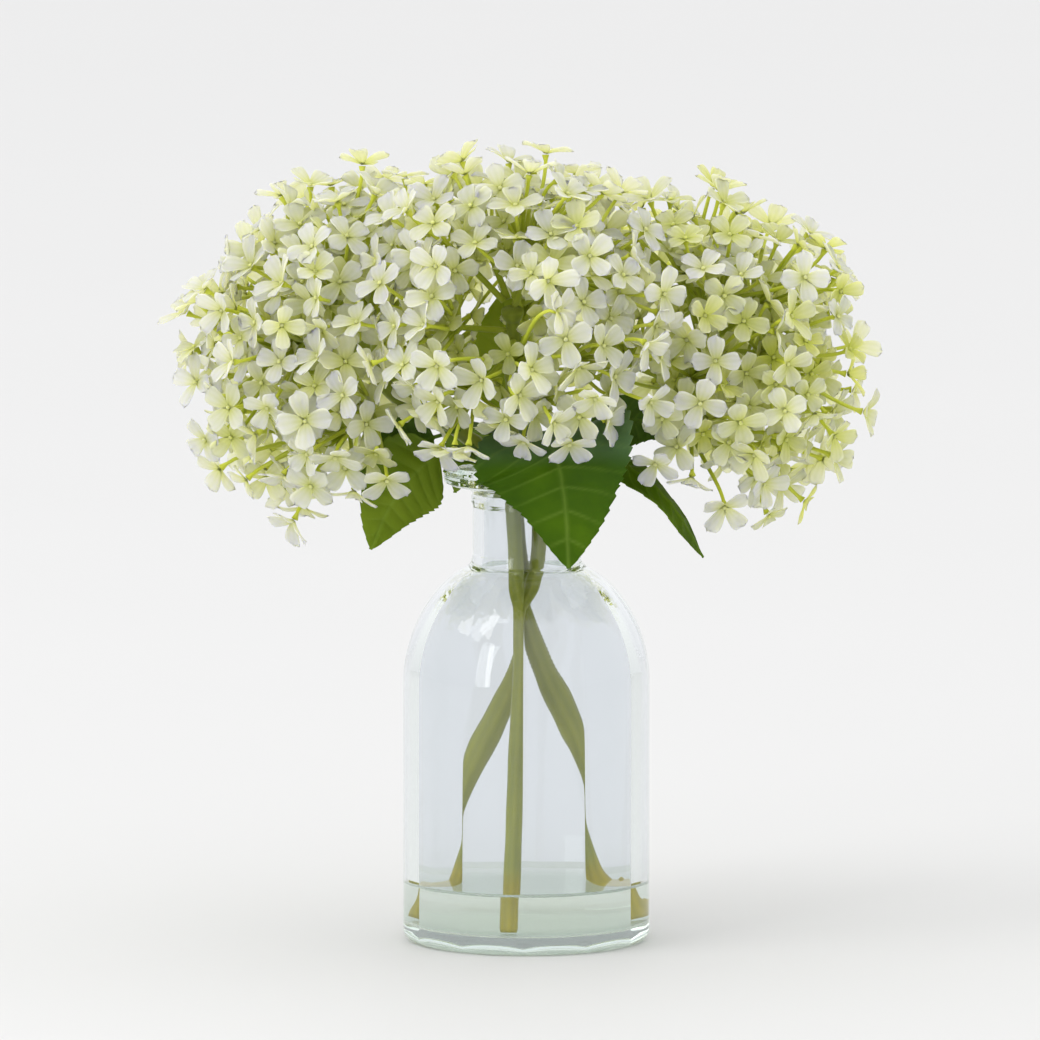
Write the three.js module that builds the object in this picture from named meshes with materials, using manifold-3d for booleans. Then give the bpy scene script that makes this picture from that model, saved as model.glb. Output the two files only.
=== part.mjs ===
// Three hydrangea stems in a fluted glass bottle vase, with a little clear water in its foot.
// Millimetres, +Z up, origin at the middle of the vase's foot, -Y is the front.
import * as THREE from "three";
import { mergeVertices } from "three/addons/utils/BufferGeometryUtils.js";
import Module from "manifold-3d";

const wasm = await Module();
wasm.setup();

// ---------- driving dimensions ----------
const CLEARANCE = 0.3; // gap between pieces that touch
const SMALLEST_DETAIL = 0.02; // shorter edges are merged

const VASE = {
  bodyRadius: 50.2, // over the middle of a flute
  wall: 3.4,
  flutes: 12,
  fluteDepth: 1.2, // how far a crease lies inside the flutes
  fluteTurn: -1.5, // degrees from +X to the first crease
  facetsPerFlute: 3,
  heelRadius: 5.4,
  floorThickness: 7,
  innerHeel: 4,
  shoulderZ: 104.5, // where the straight side turns into the dome
  domeHeight: 53.4, // of the whole dome, if the neck didn't cut it off
  neckRadius: 21.6,
  neckWall: 4.3,
  neckFlare: 5.43, // how much wider than the neck the dome still is where it ends
  neckBlend: 7, // height of the blend from the dome into the neck
  collarRise: 28.9, // from the dome's end to the collar's middle
  collarHeight: 3.2,
  collarProud: 0.6,
  collarSlope: 0.8,
  lipRise: 6.2, // from the collar's middle to the lip
  lipRadius: 33.4,
  lipHeight: 7.9,
  lipRound: 2.4,
  mouthFlare: 5, // how much wider than the neck's bore the mouth is
  mouthDepth: 7,
};

const WATER_LEVEL = 23.6;

// probes and partings: how finely, and how often, the stems are checked for touching.
const STEM = {
  radius: 3.1, sides: 8, steps: 36, rachisLength: 24, knobRadius: 4.9, probes: 60, partings: 12,
};

// Each stem stands on the floor and leans through the neck. onFloor, inNeck and inMouth give
// a direction in degrees and how far out it lies, from 0 in the middle to 1 against the glass.
// over is the bend above the lip, on the way to the foot of the flower head's rachis.
// This and every other place above the vase is [x, y, height above the lip's top].
const STEM_ROUTES = {
  left: { onFloor: [8, 0.92], inNeck: [104, 0.45], inMouth: [143, 0.72], over: [-27, 8, 12.5] },
  centre: { onFloor: [-101, 0.95], inNeck: [-120, 0.58], inMouth: [-120, 0.79], over: [-6, -18, 15.5] },
  right: { onFloor: [174, 0.92], inNeck: [-16, 0.27], inMouth: [13, 0.66], over: [31, 8, 11.5] },
};

// lean and toward: which way the head's axis points, in degrees off +Z and round from +X.
// reach: the outermost florets' distance from the middle of their ball. crowding: how many
// florets the head has for each square of its reach over their spacing.
const HEADS = [
  { name: "left", foot: [-54, 13, 27.5], lean: 35, toward: 178, reach: 73, crowding: 7.16, sprays: 13 },
  { name: "centre", foot: [-5, -25, 43.5], lean: 20, toward: -95, reach: 66, crowding: 7.79, sprays: 12 },
  { name: "right", foot: [57, 13, 25.5], lean: 35, toward: 4, reach: 69, crowding: 8.02, sprays: 12 },
];
const HEAD = {
  spread: 124, // degrees from the rachis to the last florets
  centreShare: 0.75, // where along the rachis the ball of florets has its centre
  layers: [1, 0.86, 0.96, 0.76, 0.91, 1.03],
  leastShare: 0.66, // how near the centre a crowded floret may come, as a share of its own layer
  border: 6, // how far florets stay from the plane between two heads
  wander: 0.05, // how much florets of one layer differ in their distance from the middle
  settling: 90, // rounds of moves that set the florets clear of each other
  grouping: 12, // rounds that gather them into sprays
};

// cup: degrees that the petals rise. notch: how far in the edge comes between two petals.
// throat: the depth of the funnel. tilt: how many degrees a floret may lean from straight out.
const FLORET = { reach: 9.3, cup: 20, notch: 0.5, throat: 1.6, tilt: 30, sideGap: 0.2 };
const BRANCH = { radius: 1.35, sides: 6, forkShare: 0.42, knotRadius: 2.45 };
const PEDICEL = { radius: 0.75, footRadius: 0.45, sides: 3 };
// Branches that point up start at the rachis's knob, and those beyond an angle along its side.
// highest and lowest are shares of the rachis.
const BRANCH_ROOTS = { knobAngle: 66, highest: 0.64, lowest: 0.08 };
// How far the middle of a floret, and that of a pedicel, stays from other things.
const FLORET_SPACING = 2 * FLORET.reach + FLORET.sideGap;
const PEDICEL_TO_FLORET = FLORET.reach - 2.3;
const FROM_LEAF = { floret: 1.3 * FLORET.reach, pedicel: 0.62 * FLORET.reach };
const FROM_STEM = { floret: STEM.radius + 8.4, pedicel: STEM.radius + 1.9 };
const FROM_LIP = VASE.lipRadius + FLORET.reach + 1;
const WINDOW = { at: [-16, -92, 70.5], radius: 28 }; // a parting in the front of the centre head

// The blade's half width follows sin(pi t^skew)^fullness along it, widest towards its foot.
const LEAF = { thickness: 0.9, petioleWidth: 1.4, rows: 8, columns: 4, skew: 0.62, fullness: 0.85 };
// stem and height: where the leaf starts. toward: how its stalk leaves the stem.
// route: the midrib from there to the tip, each place as [direction in degrees, distance
// beyond the lip's edge, height above its top]. side: which way the blade's right half spreads.
// fold: degrees that each half rises. petiole: the stalk's share of the length.
const LEAVES = [
  {
    name: "leaf_front", stem: "centre", height: 10.5, toward: [0.25, -0.95, 0.1],
    route: [[-85.2, 2.7, 14.5], [-77.3, 16.8, 10.5], [-74.7, 23.6, -6.5], [-72.3, 22.2, -35.5]],
    side: [0.97, -0.22, 0], width: 68, fold: -6, petiole: 0.2,
  },
  {
    name: "leaf_left", stem: "left", height: 7.5, toward: [-0.1, -0.95, -0.1],
    route: [[-169.7, 0.1, 5.5], [-165.1, 13.2, -2.5], [-164.7, 23.6, -15.5], [-165.6, 31, -32.5]],
    side: [-0.72, -0.3, 0.62], width: 37, fold: -10, petiole: 0.3,
  },
  {
    name: "leaf_left_rear", stem: "left", height: 12.5, toward: [-0.2, -0.8, 0.5],
    route: [[-177.1, 6.6, 10.5], [-174.3, 16.8, 9.5], [-174.3, 26.9, 4.5], [-175, 34.9, -7]],
    side: [0.2, 0.25, 0.95], width: 24, fold: 6, petiole: 0.2,
  },
  {
    name: "leaf_right_upper", stem: "right", height: 5.5, toward: [0.3, -0.8, 0.5],
    route: [[-4.2, -6.3, 13.5], [-13.2, 6.1, 18.5], [-14.6, 18.3, 18], [-13.8, 29.4, 11.5]],
    side: [0.1, 0.3, 0.95], width: 23, fold: 5, petiole: 0.2,
  },
  {
    name: "leaf_right_lower", stem: "right", height: 0.5, toward: [0.3, -0.9, 0.2],
    route: [[-30, -3.4, 6.5], [-31.3, 15.7, 1.5], [-22.5, 29.4, -13], [-13.5, 39.2, -35.5]],
    side: [0.25, 0.95, 0.18], width: 25, fold: 8, petiole: 0.3,
  },
  {
    name: "leaf_lip", stem: "centre", height: 0.5, toward: [-0.7, -0.5, 0.5],
    route: [[-126.9, -8.4, 4.5], [-128.9, 0, 6.5], [-131.1, 7.7, 5.5], [-132.5, 15.4, 1.5]],
    side: [-0.6, 0.72, 0.3], width: 19, fold: 8, petiole: 0.25,
  },
  {
    name: "leaf_back_left", stem: "left", height: -1.5, toward: [-0.1, 0.9, 0.4],
    route: [[110.6, -7.8, 7.5], [108.4, 10.9, 10.5], [110.6, 26.4, 1.5], [114, 37.8, -19.5]],
    side: [-0.9, -0.4, 0.1], width: 38, fold: -8, petiole: 0.25,
  },
  {
    name: "leaf_back_right", stem: "right", height: -2.5, toward: [0, 0.9, 0.4],
    route: [[55.7, -6.8, 6.5], [64.5, 13.1, 10.5], [64.7, 29.7, 1.5], [62.4, 42.2, -18.5]],
    side: [0.92, -0.38, 0.1], width: 38, fold: -8, petiole: 0.25,
  },
  {
    name: "leaf_back_upright", stem: "centre", height: 11.5, toward: [-0.1, 0.95, 0.2],
    route: [[153.4, -24.5, 21.5], [122, -14.5, 37.5], [113.5, -8.3, 53.5], [106.5, -5.2, 69.5]],
    side: [0.98, 0.1, 0], width: 24, fold: 6, petiole: 0.25,
  },
];

const COLOURS = {
  glass: "#dfe8ea",
  water: "#e4ebe0",
  stem: "#7f8a3a",
  floret: "#e3e6c8",
  leaf: "#4c7a1e",
};

// ---------- small helpers ----------
const vector = (a) => new THREE.Vector3(...a);
const radians = THREE.MathUtils.degToRad;
const GOLDEN_TURN = Math.PI * (3 - Math.sqrt(5));
// Evenly mixed numbers from 0 to 1, the same on every run.
const mixed = (i, step) => (i * step + 0.5) % 1;

function solidOf(geometry) {
  const bare = geometry.clone();
  bare.deleteAttribute("normal");
  bare.deleteAttribute("uv");
  const merged = mergeVertices(bare, 1e-4);
  return new wasm.Manifold(
    new wasm.Mesh({
      numProp: 3,
      vertProperties: new Float32Array(merged.attributes.position.array),
      triVerts: new Uint32Array(merged.index.array),
    }),
  );
}

function geometryOf(solid) {
  const { numProp, vertProperties, triVerts } = solid.simplify(SMALLEST_DETAIL).getMesh();
  const points = [];
  for (let i = 0; i < vertProperties.length; i += numProp) {
    points.push(...vertProperties.slice(i, i + 3));
  }
  const geometry = new THREE.BufferGeometry();
  geometry.setAttribute("position", new THREE.Float32BufferAttribute(points, 3));
  geometry.setIndex([...triVerts]);
  return geometry;
}

function mesh(name, geometry, colour, roughness, more = {}) {
  const flat = geometry.toNonIndexed();
  flat.computeVertexNormals();
  const material = new THREE.MeshStandardMaterial({ color: colour, roughness, metalness: 0, ...more });
  const made = new THREE.Mesh(flat, material);
  made.name = name;
  return made;
}

function circle(radius, sides) {
  const corners = [];
  for (let i = 0; i < sides; i++) {
    const a = (2 * Math.PI * i) / sides;
    corners.push(new THREE.Vector2(radius * Math.cos(a), radius * Math.sin(a)));
  }
  return new THREE.Shape(corners);
}

function tube(points, radius, sides, steps) {
  const path = new THREE.CatmullRomCurve3(points, false, "centripetal");
  return new THREE.ExtrudeGeometry(circle(radius, sides), { steps, extrudePath: path });
}

// ---------- vase ----------
const innerRadius = VASE.bodyRadius - VASE.wall;
const neckInside = VASE.neckRadius - VASE.neckWall;
const domeEnd = VASE.neckRadius + VASE.neckFlare;
const neckFoot = VASE.shoulderZ + VASE.domeHeight * Math.sqrt(1 - (domeEnd / VASE.bodyRadius) ** 2);
const collarZ = neckFoot + VASE.collarRise;
const lipBottom = collarZ + VASE.lipRise;
const lipTop = lipBottom + VASE.lipHeight;
const aboveLip = ([x, y, z]) => new THREE.Vector3(x, y, z + lipTop);
const beyondLip = ([toward, beyond, z]) => {
  const r = VASE.lipRadius + beyond;
  return aboveLip([r * Math.cos(radians(toward)), r * Math.sin(radians(toward)), z]);
};

// The outside from the middle of the foot up to the mouth, as [radius, height].
function outerProfile() {
  const v = VASE;
  const points = [[0, 0]];
  for (let i = 0; i <= 3; i++) {
    const a = (Math.PI / 2) * (i / 3);
    points.push([
      v.bodyRadius - v.heelRadius + v.heelRadius * Math.sin(a),
      v.heelRadius * (1 - Math.cos(a)),
    ]);
  }
  const domeSteps = 7;
  for (let i = 0; i <= domeSteps; i++) {
    const z = v.shoulderZ + (neckFoot - v.shoulderZ) * Math.sin((Math.PI / 2) * (i / domeSteps));
    points.push([domeRadius(z), z]);
  }
  const collarFoot = collarZ - v.collarHeight / 2;
  const collarHead = collarZ + v.collarHeight / 2;
  points.push(
    [v.neckRadius + v.neckFlare / 6, neckFoot + 0.43 * v.neckBlend],
    [v.neckRadius, neckFoot + v.neckBlend],
    [v.neckRadius, collarFoot - v.collarSlope],
    [v.neckRadius + v.collarProud, collarFoot + v.collarSlope / 2],
    [v.neckRadius + v.collarProud, collarHead - v.collarSlope / 2],
    [v.neckRadius, collarHead + v.collarSlope],
    [v.neckRadius + 0.4 * v.lipRound, lipBottom - 0.7 * v.lipRound],
    [v.lipRadius - 1.2 * v.lipRound, lipBottom],
    [v.lipRadius, lipBottom + 1.2 * v.lipRound],
    [v.lipRadius - 0.12 * v.lipRound, lipTop - 0.8 * v.lipRound],
    [v.lipRadius - v.lipRound, lipTop],
  );
  return points;
}

function domeRadius(z) {
  const v = VASE;
  return v.bodyRadius * Math.sqrt(1 - ((z - v.shoulderZ) / v.domeHeight) ** 2);
}

// The inside from the mouth down to the middle of the floor.
function innerProfile() {
  const v = VASE;
  const innerHeight = v.domeHeight - v.wall;
  const throat = neckInside + 1.5;
  const points = [
    [neckInside + v.mouthFlare, lipTop - 0.6],
    [neckInside + 0.2 * v.mouthFlare, lipTop - 0.43 * v.mouthDepth],
    [neckInside, lipTop - v.mouthDepth],
    [neckInside, v.shoulderZ + innerHeight + 2],
  ];
  const domeSteps = 7;
  const fromAngle = Math.asin(throat / innerRadius);
  for (let i = 0; i <= domeSteps; i++) {
    const a = fromAngle + (Math.PI / 2 - fromAngle) * (i / domeSteps);
    points.push([innerRadius * Math.sin(a), v.shoulderZ + innerHeight * Math.cos(a)]);
  }
  for (let i = 0; i <= 2; i++) {
    const a = (Math.PI / 2) * (i / 2);
    points.push([
      innerRadius - v.innerHeel * (1 - Math.cos(a)),
      v.floorThickness + v.innerHeel * (1 - Math.sin(a)),
    ]);
  }
  points.push([0, v.floorThickness]);
  return points;
}

// How far the outside lies in from its profile, at a height and an angle.
function fluteInset(z, angle) {
  const v = VASE;
  const crease = Math.abs(Math.sin((v.flutes / 2) * (angle - radians(v.fluteTurn))));
  const atTop = THREE.MathUtils.smoothstep(neckFoot - z, 0, 22);
  const atFoot = THREE.MathUtils.smoothstep(z, -0.5, v.heelRadius);
  return v.fluteDepth * (1 - crease) * atTop * atFoot;
}

function vase() {
  const outer = outerProfile();
  const profile = [...outer, ...innerProfile()].map(([r, z]) => new THREE.Vector2(r, z));
  const segments = VASE.flutes * VASE.facetsPerFlute;
  const geometry = new THREE.LatheGeometry(profile, segments, radians(90 + VASE.fluteTurn));
  geometry.rotateX(Math.PI / 2);
  const position = geometry.attributes.position;
  for (let i = 0; i < position.count; i++) {
    if (i % profile.length >= outer.length) continue;
    const [x, y, z] = [position.getX(i), position.getY(i), position.getZ(i)];
    const r = Math.hypot(x, y);
    if (r < VASE.neckRadius) continue;
    const scale = (r - fluteInset(z, Math.atan2(y, x))) / r;
    position.setXYZ(i, x * scale, y * scale, z);
  }
  return geometryOf(solidOf(geometry));
}

// ---------- stems ----------
function headAxis(head) {
  const lean = radians(head.lean);
  const toward = radians(head.toward);
  return new THREE.Vector3(
    Math.sin(lean) * Math.cos(toward),
    Math.sin(lean) * Math.sin(toward),
    Math.cos(lean),
  );
}

function placed([toward, share], room, z) {
  const r = share * (room - STEM.radius - CLEARANCE);
  return new THREE.Vector3(r * Math.cos(radians(toward)), r * Math.sin(radians(toward)), z);
}

// A stem's centreline as planned, from its cut end on the vase's floor to its rachis's top.
function plannedRoute(head) {
  const v = VASE;
  const route = STEM_ROUTES[head.name];
  const neck = placed(route.inNeck, neckInside, neckFoot);
  const mouth = placed(route.inMouth, neckInside, lipTop - v.mouthDepth + 0.5);
  const cutEnd = placed(route.onFloor, innerRadius - v.innerHeel, v.floorThickness);
  const slant = neck.clone().sub(cutEnd).normalize();
  cutEnd.z += CLEARANCE + STEM.radius * Math.hypot(slant.x, slant.y);
  const foot = aboveLip(head.foot);
  const top = foot.clone().addScaledVector(headAxis(head), STEM.rachisLength);
  return [cutEnd, cutEnd.clone().lerp(neck, 0.5), neck, mouth, aboveLip(route.over), foot, top];
}

const curveOf = (route) => new THREE.CatmullRomCurve3(route, false, "centripetal");

// Where two curves come nearest to each other inside the vase.
function nearestPoints(first, second) {
  let best = { gap: Infinity };
  for (let i = 0; i <= STEM.probes; i++) {
    const a = first.getPoint((0.6 * i) / STEM.probes);
    for (let j = 0; j <= STEM.probes; j++) {
      const b = second.getPoint((0.6 * j) / STEM.probes);
      const gap = a.distanceTo(b);
      if (gap < best.gap) best = { gap, a, b };
    }
  }
  return best;
}

// The planned routes, with their middles moved apart where two stems would touch.
function separateRoutes() {
  const routes = HEADS.map(plannedRoute);
  const apart = 2 * STEM.radius + CLEARANCE;
  const shift = (route, way, length, height) => {
    for (const point of route.slice(1, 4)) {
      const share = Math.max(0, 1 - Math.abs(point.z - height) / (neckFoot - VASE.floorThickness));
      point.addScaledVector(way, length * share);
    }
  };
  for (let round = 0; round < STEM.partings; round++) {
    for (const [one, other] of [[0, 1], [0, 2], [1, 2]]) {
      const { gap, a, b } = nearestPoints(curveOf(routes[one]), curveOf(routes[other]));
      if (gap > apart) continue;
      const way = a.clone().sub(b).setZ(0).normalize();
      shift(routes[one], way, (apart - gap) / 2, a.z);
      shift(routes[other], way, (gap - apart) / 2, b.z);
    }
  }
  return new Map(HEADS.map((head, h) => [head.name, routes[h]]));
}
const routes = separateRoutes();
const stemRoute = (head) => routes.get(head.name).map((point) => point.clone());
const stemCurve = (head) => curveOf(stemRoute(head));

function stem(head) {
  const rod = solidOf(tube(stemRoute(head), STEM.radius, STEM.sides, STEM.steps));
  const knob = new THREE.SphereGeometry(STEM.knobRadius, 8, 6);
  const top = stemRoute(head).at(-1);
  knob.translate(top.x, top.y, top.z);
  return geometryOf(rod.add(solidOf(knob)));
}

// ---------- water ----------
function water() {
  const v = VASE;
  const r = innerRadius - CLEARANCE;
  const floor = v.floorThickness + CLEARANCE;
  const bevel = (1 - Math.SQRT1_2) * v.innerHeel;
  const profile = [
    [0, floor], [r - v.innerHeel, floor], [r - bevel, floor + bevel],
    [r, floor + v.innerHeel], [r, WATER_LEVEL], [0, WATER_LEVEL],
  ].map(([x, z]) => new THREE.Vector2(x, z));
  const segments = v.flutes * v.facetsPerFlute;
  const body = new THREE.LatheGeometry(profile, segments, radians(90 + v.fluteTurn));
  body.rotateX(Math.PI / 2);
  let made = solidOf(body);
  for (const head of HEADS) {
    const route = stemRoute(head);
    const down = route[0].clone().sub(route[1]).normalize();
    route[0].addScaledVector(down, v.floorThickness);
    const bore = tube(route.slice(0, 2), STEM.radius + CLEARANCE, STEM.sides, 1);
    made = made.subtract(solidOf(bore));
  }
  return geometryOf(made);
}

// ---------- leaves ----------
// Half the blade's width along the midrib, as a share of its greatest half width.
function bladeShare(t) {
  return Math.sin(Math.PI * Math.min(1, t) ** LEAF.skew) ** LEAF.fullness;
}

// The midrib, which starts a clearance off the stem.
function midrib(leaf) {
  const curve = stemCurve(HEADS.find((head) => head.name === leaf.stem));
  let [low, high] = [0, 1];
  for (let i = 0; i < 20; i++) {
    const middle = (low + high) / 2;
    if (curve.getPoint(middle).z < lipTop + leaf.height) low = middle;
    else high = middle;
  }
  const along = curve.getTangent(low);
  const toward = vector(leaf.toward);
  toward.addScaledVector(along, -toward.dot(along)).normalize();
  const start = curve.getPoint(low).addScaledVector(toward, STEM.radius + 2 * CLEARANCE);
  return new THREE.CatmullRomCurve3([start, ...leaf.route.map(beyondLip)], false, "centripetal");
}
const midribs = new Map(LEAVES.map((each) => [each.name, midrib(each)]));

// A point on a leaf: t runs from stem to tip, u from -1 to 1 across it, lift is off its surface.
function leafPoint(leaf, t, u, lift = 0) {
  const route = midribs.get(leaf.name);
  const at = route.getPoint(t);
  const tangent = route.getTangent(t);
  const side = vector(leaf.side);
  side.addScaledVector(tangent, -side.dot(tangent)).normalize();
  const normal = side.clone().cross(tangent);
  const blade = Math.max(0, (t - leaf.petiole) / (1 - leaf.petiole));
  const half = Math.max(LEAF.petioleWidth / 2, (leaf.width / 2) * bladeShare(blade));
  const fold = radians(leaf.fold);
  return at
    .addScaledVector(side, u * half * Math.cos(fold))
    .addScaledVector(normal, Math.abs(u) * half * Math.sin(fold) + lift);
}

function leaf(leaf) {
  const { rows, columns, thickness } = LEAF;
  const points = [];
  for (const lift of [thickness / 2, -thickness / 2]) {
    for (let i = 0; i <= rows; i++) {
      for (let j = 0; j <= columns; j++) {
        const t = (i / rows) ** 0.9;
        points.push(...leafPoint(leaf, t, (2 * j) / columns - 1, lift).toArray());
      }
    }
  }
  const width = columns + 1;
  const layer = (rows + 1) * width;
  const faces = [];
  const quad = (a, b, c, d) => faces.push(a, b, c, a, c, d);
  for (let i = 0; i < rows; i++) {
    for (let j = 0; j < columns; j++) {
      const a = i * width + j;
      quad(a, a + 1, a + 1 + width, a + width);
      quad(layer + a, layer + a + width, layer + a + 1 + width, layer + a + 1);
    }
    const left = i * width;
    const right = left + columns;
    quad(left, left + width, layer + left + width, layer + left);
    quad(right, layer + right, layer + right + width, right + width);
  }
  for (let j = 0; j < columns; j++) {
    const end = rows * width + j;
    quad(j, layer + j, layer + j + 1, j + 1);
    quad(end, end + 1, layer + end + 1, layer + end);
  }
  const geometry = new THREE.BufferGeometry();
  geometry.setAttribute("position", new THREE.Float32BufferAttribute(points, 3));
  geometry.setIndex(faces);
  const made = solidOf(geometry);
  if (made.volume() < 0) throw new Error(leaf.name + " is inside out");
  return geometryOf(made);
}

// Points spread over the leaves and the stems, with the distances the flower heads keep.
function obstacles() {
  const samples = [];
  const [along, across] = [12, 3];
  for (const each of LEAVES) {
    for (let i = 0; i < along; i++) {
      for (let j = -across; j <= across; j++) {
        samples.push({ at: leafPoint(each, (i + 0.5) / along, j / (across + 0.2)), ...FROM_LEAF });
      }
    }
  }
  for (const head of HEADS) {
    const curve = stemCurve(head);
    for (let t = 0.6; t < 0.86; t += 0.03) samples.push({ at: curve.getPoint(t), ...FROM_STEM });
  }
  return samples;
}

// ---------- flower heads ----------
// A direction at an angle from the head's axis and an angle round it.
function headDirection(head, polar, round) {
  const axis = headAxis(head);
  const right = new THREE.Vector3(0, 1, 0).cross(axis).normalize();
  const up = axis.clone().cross(right);
  return axis
    .multiplyScalar(Math.cos(polar))
    .addScaledVector(right, Math.sin(polar) * Math.cos(round))
    .addScaledVector(up, Math.sin(polar) * Math.sin(round));
}

// Direction i of n, evenly spread over the head.
function spreadDirection(head, i, n) {
  const polar = Math.acos(1 - (1 - Math.cos(radians(HEAD.spread))) * ((i + 0.5) / n));
  return headDirection(head, polar, i * GOLDEN_TURN);
}

function headCentre(head) {
  return aboveLip(head.foot).addScaledVector(headAxis(head), STEM.rachisLength * HEAD.centreShare);
}

// Every floret, spread evenly over its head and at its own distance from the middle.
function spreadFlorets() {
  const florets = [];
  HEADS.forEach((head, h) => {
    const count = Math.round(head.crowding * (head.reach / FLORET_SPACING) ** 2);
    for (let i = 0; i < count; i++) {
      const layer = HEAD.layers[i % HEAD.layers.length];
      const wander = 1 + HEAD.wander * (mixed(i, 0.7548776662) - 0.5);
      const radius = head.reach * layer * wander;
      const at = headCentre(head).addScaledVector(spreadDirection(head, i, count), radius);
      florets.push({ head: h, index: i, radius, at });
    }
  });
  return florets;
}

// The move that takes a point to at least a distance from another, or part of that move.
function moveOff(at, from, least, share) {
  const away = at.clone().sub(from);
  const gap = away.length();
  return gap < least ? away.multiplyScalar((share * (least - gap)) / gap) : away.set(0, 0, 0);
}

// The move of a floret that takes its pedicel clear of a point.
function swingOff(at, centre, from, least) {
  const along = at.clone().sub(centre);
  const share = from.clone().sub(centre).dot(along) / along.lengthSq();
  if (share < 0.3 || share > 1) return new THREE.Vector3();
  const nearest = centre.clone().addScaledVector(along, share);
  return moveOff(nearest, from, least, 0.6 / share);
}

// The move that takes one floret clear of its neighbours, the other heads, the leaves, the
// stems, the lip and the parting.
function floretMove(floret, florets, samples, centres) {
  const centre = centres[floret.head];
  const move = moveOff(floret.at, aboveLip(WINDOW.at), WINDOW.radius, 0.6);
  for (const other of florets) {
    if (other === floret) continue;
    move.add(moveOff(floret.at, other.at, FLORET_SPACING, 0.45));
    if (other.head === floret.head) {
      move.add(swingOff(floret.at, centre, other.at, PEDICEL_TO_FLORET));
    }
  }
  for (const sample of samples) {
    move.add(moveOff(floret.at, sample.at, sample.floret, 0.6));
    move.add(swingOff(floret.at, centre, sample.at, sample.pedicel));
  }
  const lip = new THREE.Vector3(0, 0, Math.min(floret.at.z, lipTop));
  move.add(moveOff(floret.at, lip, FROM_LIP, 0.8));
  for (const other of centres) {
    if (other === centre) continue;
    const across = centre.clone().sub(other).normalize();
    const middle = centre.clone().add(other).multiplyScalar(0.5);
    const short = HEAD.border - floret.at.clone().sub(middle).dot(across);
    if (short > 0) move.addScaledVector(across, short);
  }
  return move;
}

// Brings a floret back within its head's spread and near its own distance from the middle.
function keepInHead(floret, centre, axis) {
  const out = floret.at.clone().sub(centre);
  const reach = out.length();
  const short = Math.cos(radians(HEAD.spread)) - out.dot(axis) / reach;
  if (short > 0) out.addScaledVector(axis, short * reach);
  const wanted = THREE.MathUtils.clamp(
    reach + 0.3 * (floret.radius - reach), HEAD.leastShare * floret.radius, floret.radius,
  );
  floret.at = out.normalize().multiplyScalar(wanted).add(centre);
}

// Settles all florets, moving each a little at a time.
function placeFlorets() {
  const florets = spreadFlorets();
  const centres = HEADS.map(headCentre);
  const samples = obstacles();
  const near = centres.map((centre, h) => samples.filter((sample) => {
    return sample.at.distanceTo(centre) < HEADS[h].reach * 1.3;
  }));
  for (let i = 0; i < HEAD.settling; i++) {
    const moves = florets.map((floret) => floretMove(floret, florets, near[floret.head], centres));
    florets.forEach((floret, k) => {
      floret.at.add(moves[k]);
      keepInHead(floret, centres[floret.head], headAxis(HEADS[floret.head]));
    });
  }
  return florets;
}

// Groups a head's florets into sprays, each round its own mean direction. The groups start
// from florets that lie as far from each other as can be, so that none stays empty.
function groupSprays(florets, h) {
  const own = florets.filter((f) => f.head === h);
  const centre = headCentre(HEADS[h]);
  const directions = own.map((f) => f.at.clone().sub(centre).normalize());
  let means = [directions[0]];
  while (means.length < HEADS[h].sprays) {
    const nearest = directions.map((d) => Math.max(...means.map((m) => m.dot(d))));
    means.push(directions[nearest.indexOf(Math.min(...nearest))]);
  }
  let groups = [];
  for (let round = 0; round < HEAD.grouping; round++) {
    groups = means.map(() => []);
    directions.forEach((d, i) => {
      const nearness = means.map((m) => m.dot(d));
      groups[nearness.indexOf(Math.max(...nearness))].push(i);
    });
    means = groups.map((group) => {
      const sum = new THREE.Vector3();
      for (const i of group) sum.add(directions[i]);
      return sum.normalize();
    });
  }
  return groups.map((group, k) => ({ direction: means[k], florets: group.map((i) => own[i]) }));
}

// Where a spray leaves the rachis: from the knob if it points up, or else from the rachis's side.
function sprayRoot(head, direction) {
  const polar = headAxis(head).angleTo(direction);
  const curve = stemCurve(head);
  const shoulder = radians(BRANCH_ROOTS.knobAngle);
  if (polar < shoulder) {
    return curve.getPoint(1).addScaledVector(direction, STEM.knobRadius + CLEARANCE);
  }
  const drop = (polar - shoulder) / (radians(HEAD.spread) - shoulder);
  const share = THREE.MathUtils.lerp(BRANCH_ROOTS.highest, BRANCH_ROOTS.lowest, Math.min(1, drop));
  const segments = stemRoute(head).length - 1;
  const t = (segments - 1 + share) / segments;
  const cosine = Math.abs(curve.getTangent(t).dot(direction));
  const out = (STEM.radius + CLEARANCE + BRANCH.radius * cosine) / Math.sqrt(1 - cosine ** 2);
  return curve.getPoint(t).addScaledVector(direction, out);
}

// The way a floret faces: outwards, with a lean of its own.
function floretNormal(floret) {
  const out = floret.at.clone().sub(headCentre(HEADS[floret.head])).normalize();
  const helper = Math.abs(out.z) < 0.8 ? [0, 0, 1] : [1, 0, 0];
  const across = vector(helper).cross(out).normalize();
  const turn = 2 * Math.PI * mixed(floret.index, 0.5698402910);
  const lean = radians(FLORET.tilt) * mixed(floret.index, 0.8191725134);
  const sideways = across.applyAxisAngle(out, turn);
  return out.multiplyScalar(Math.cos(lean)).addScaledVector(sideways, Math.sin(lean));
}

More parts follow.
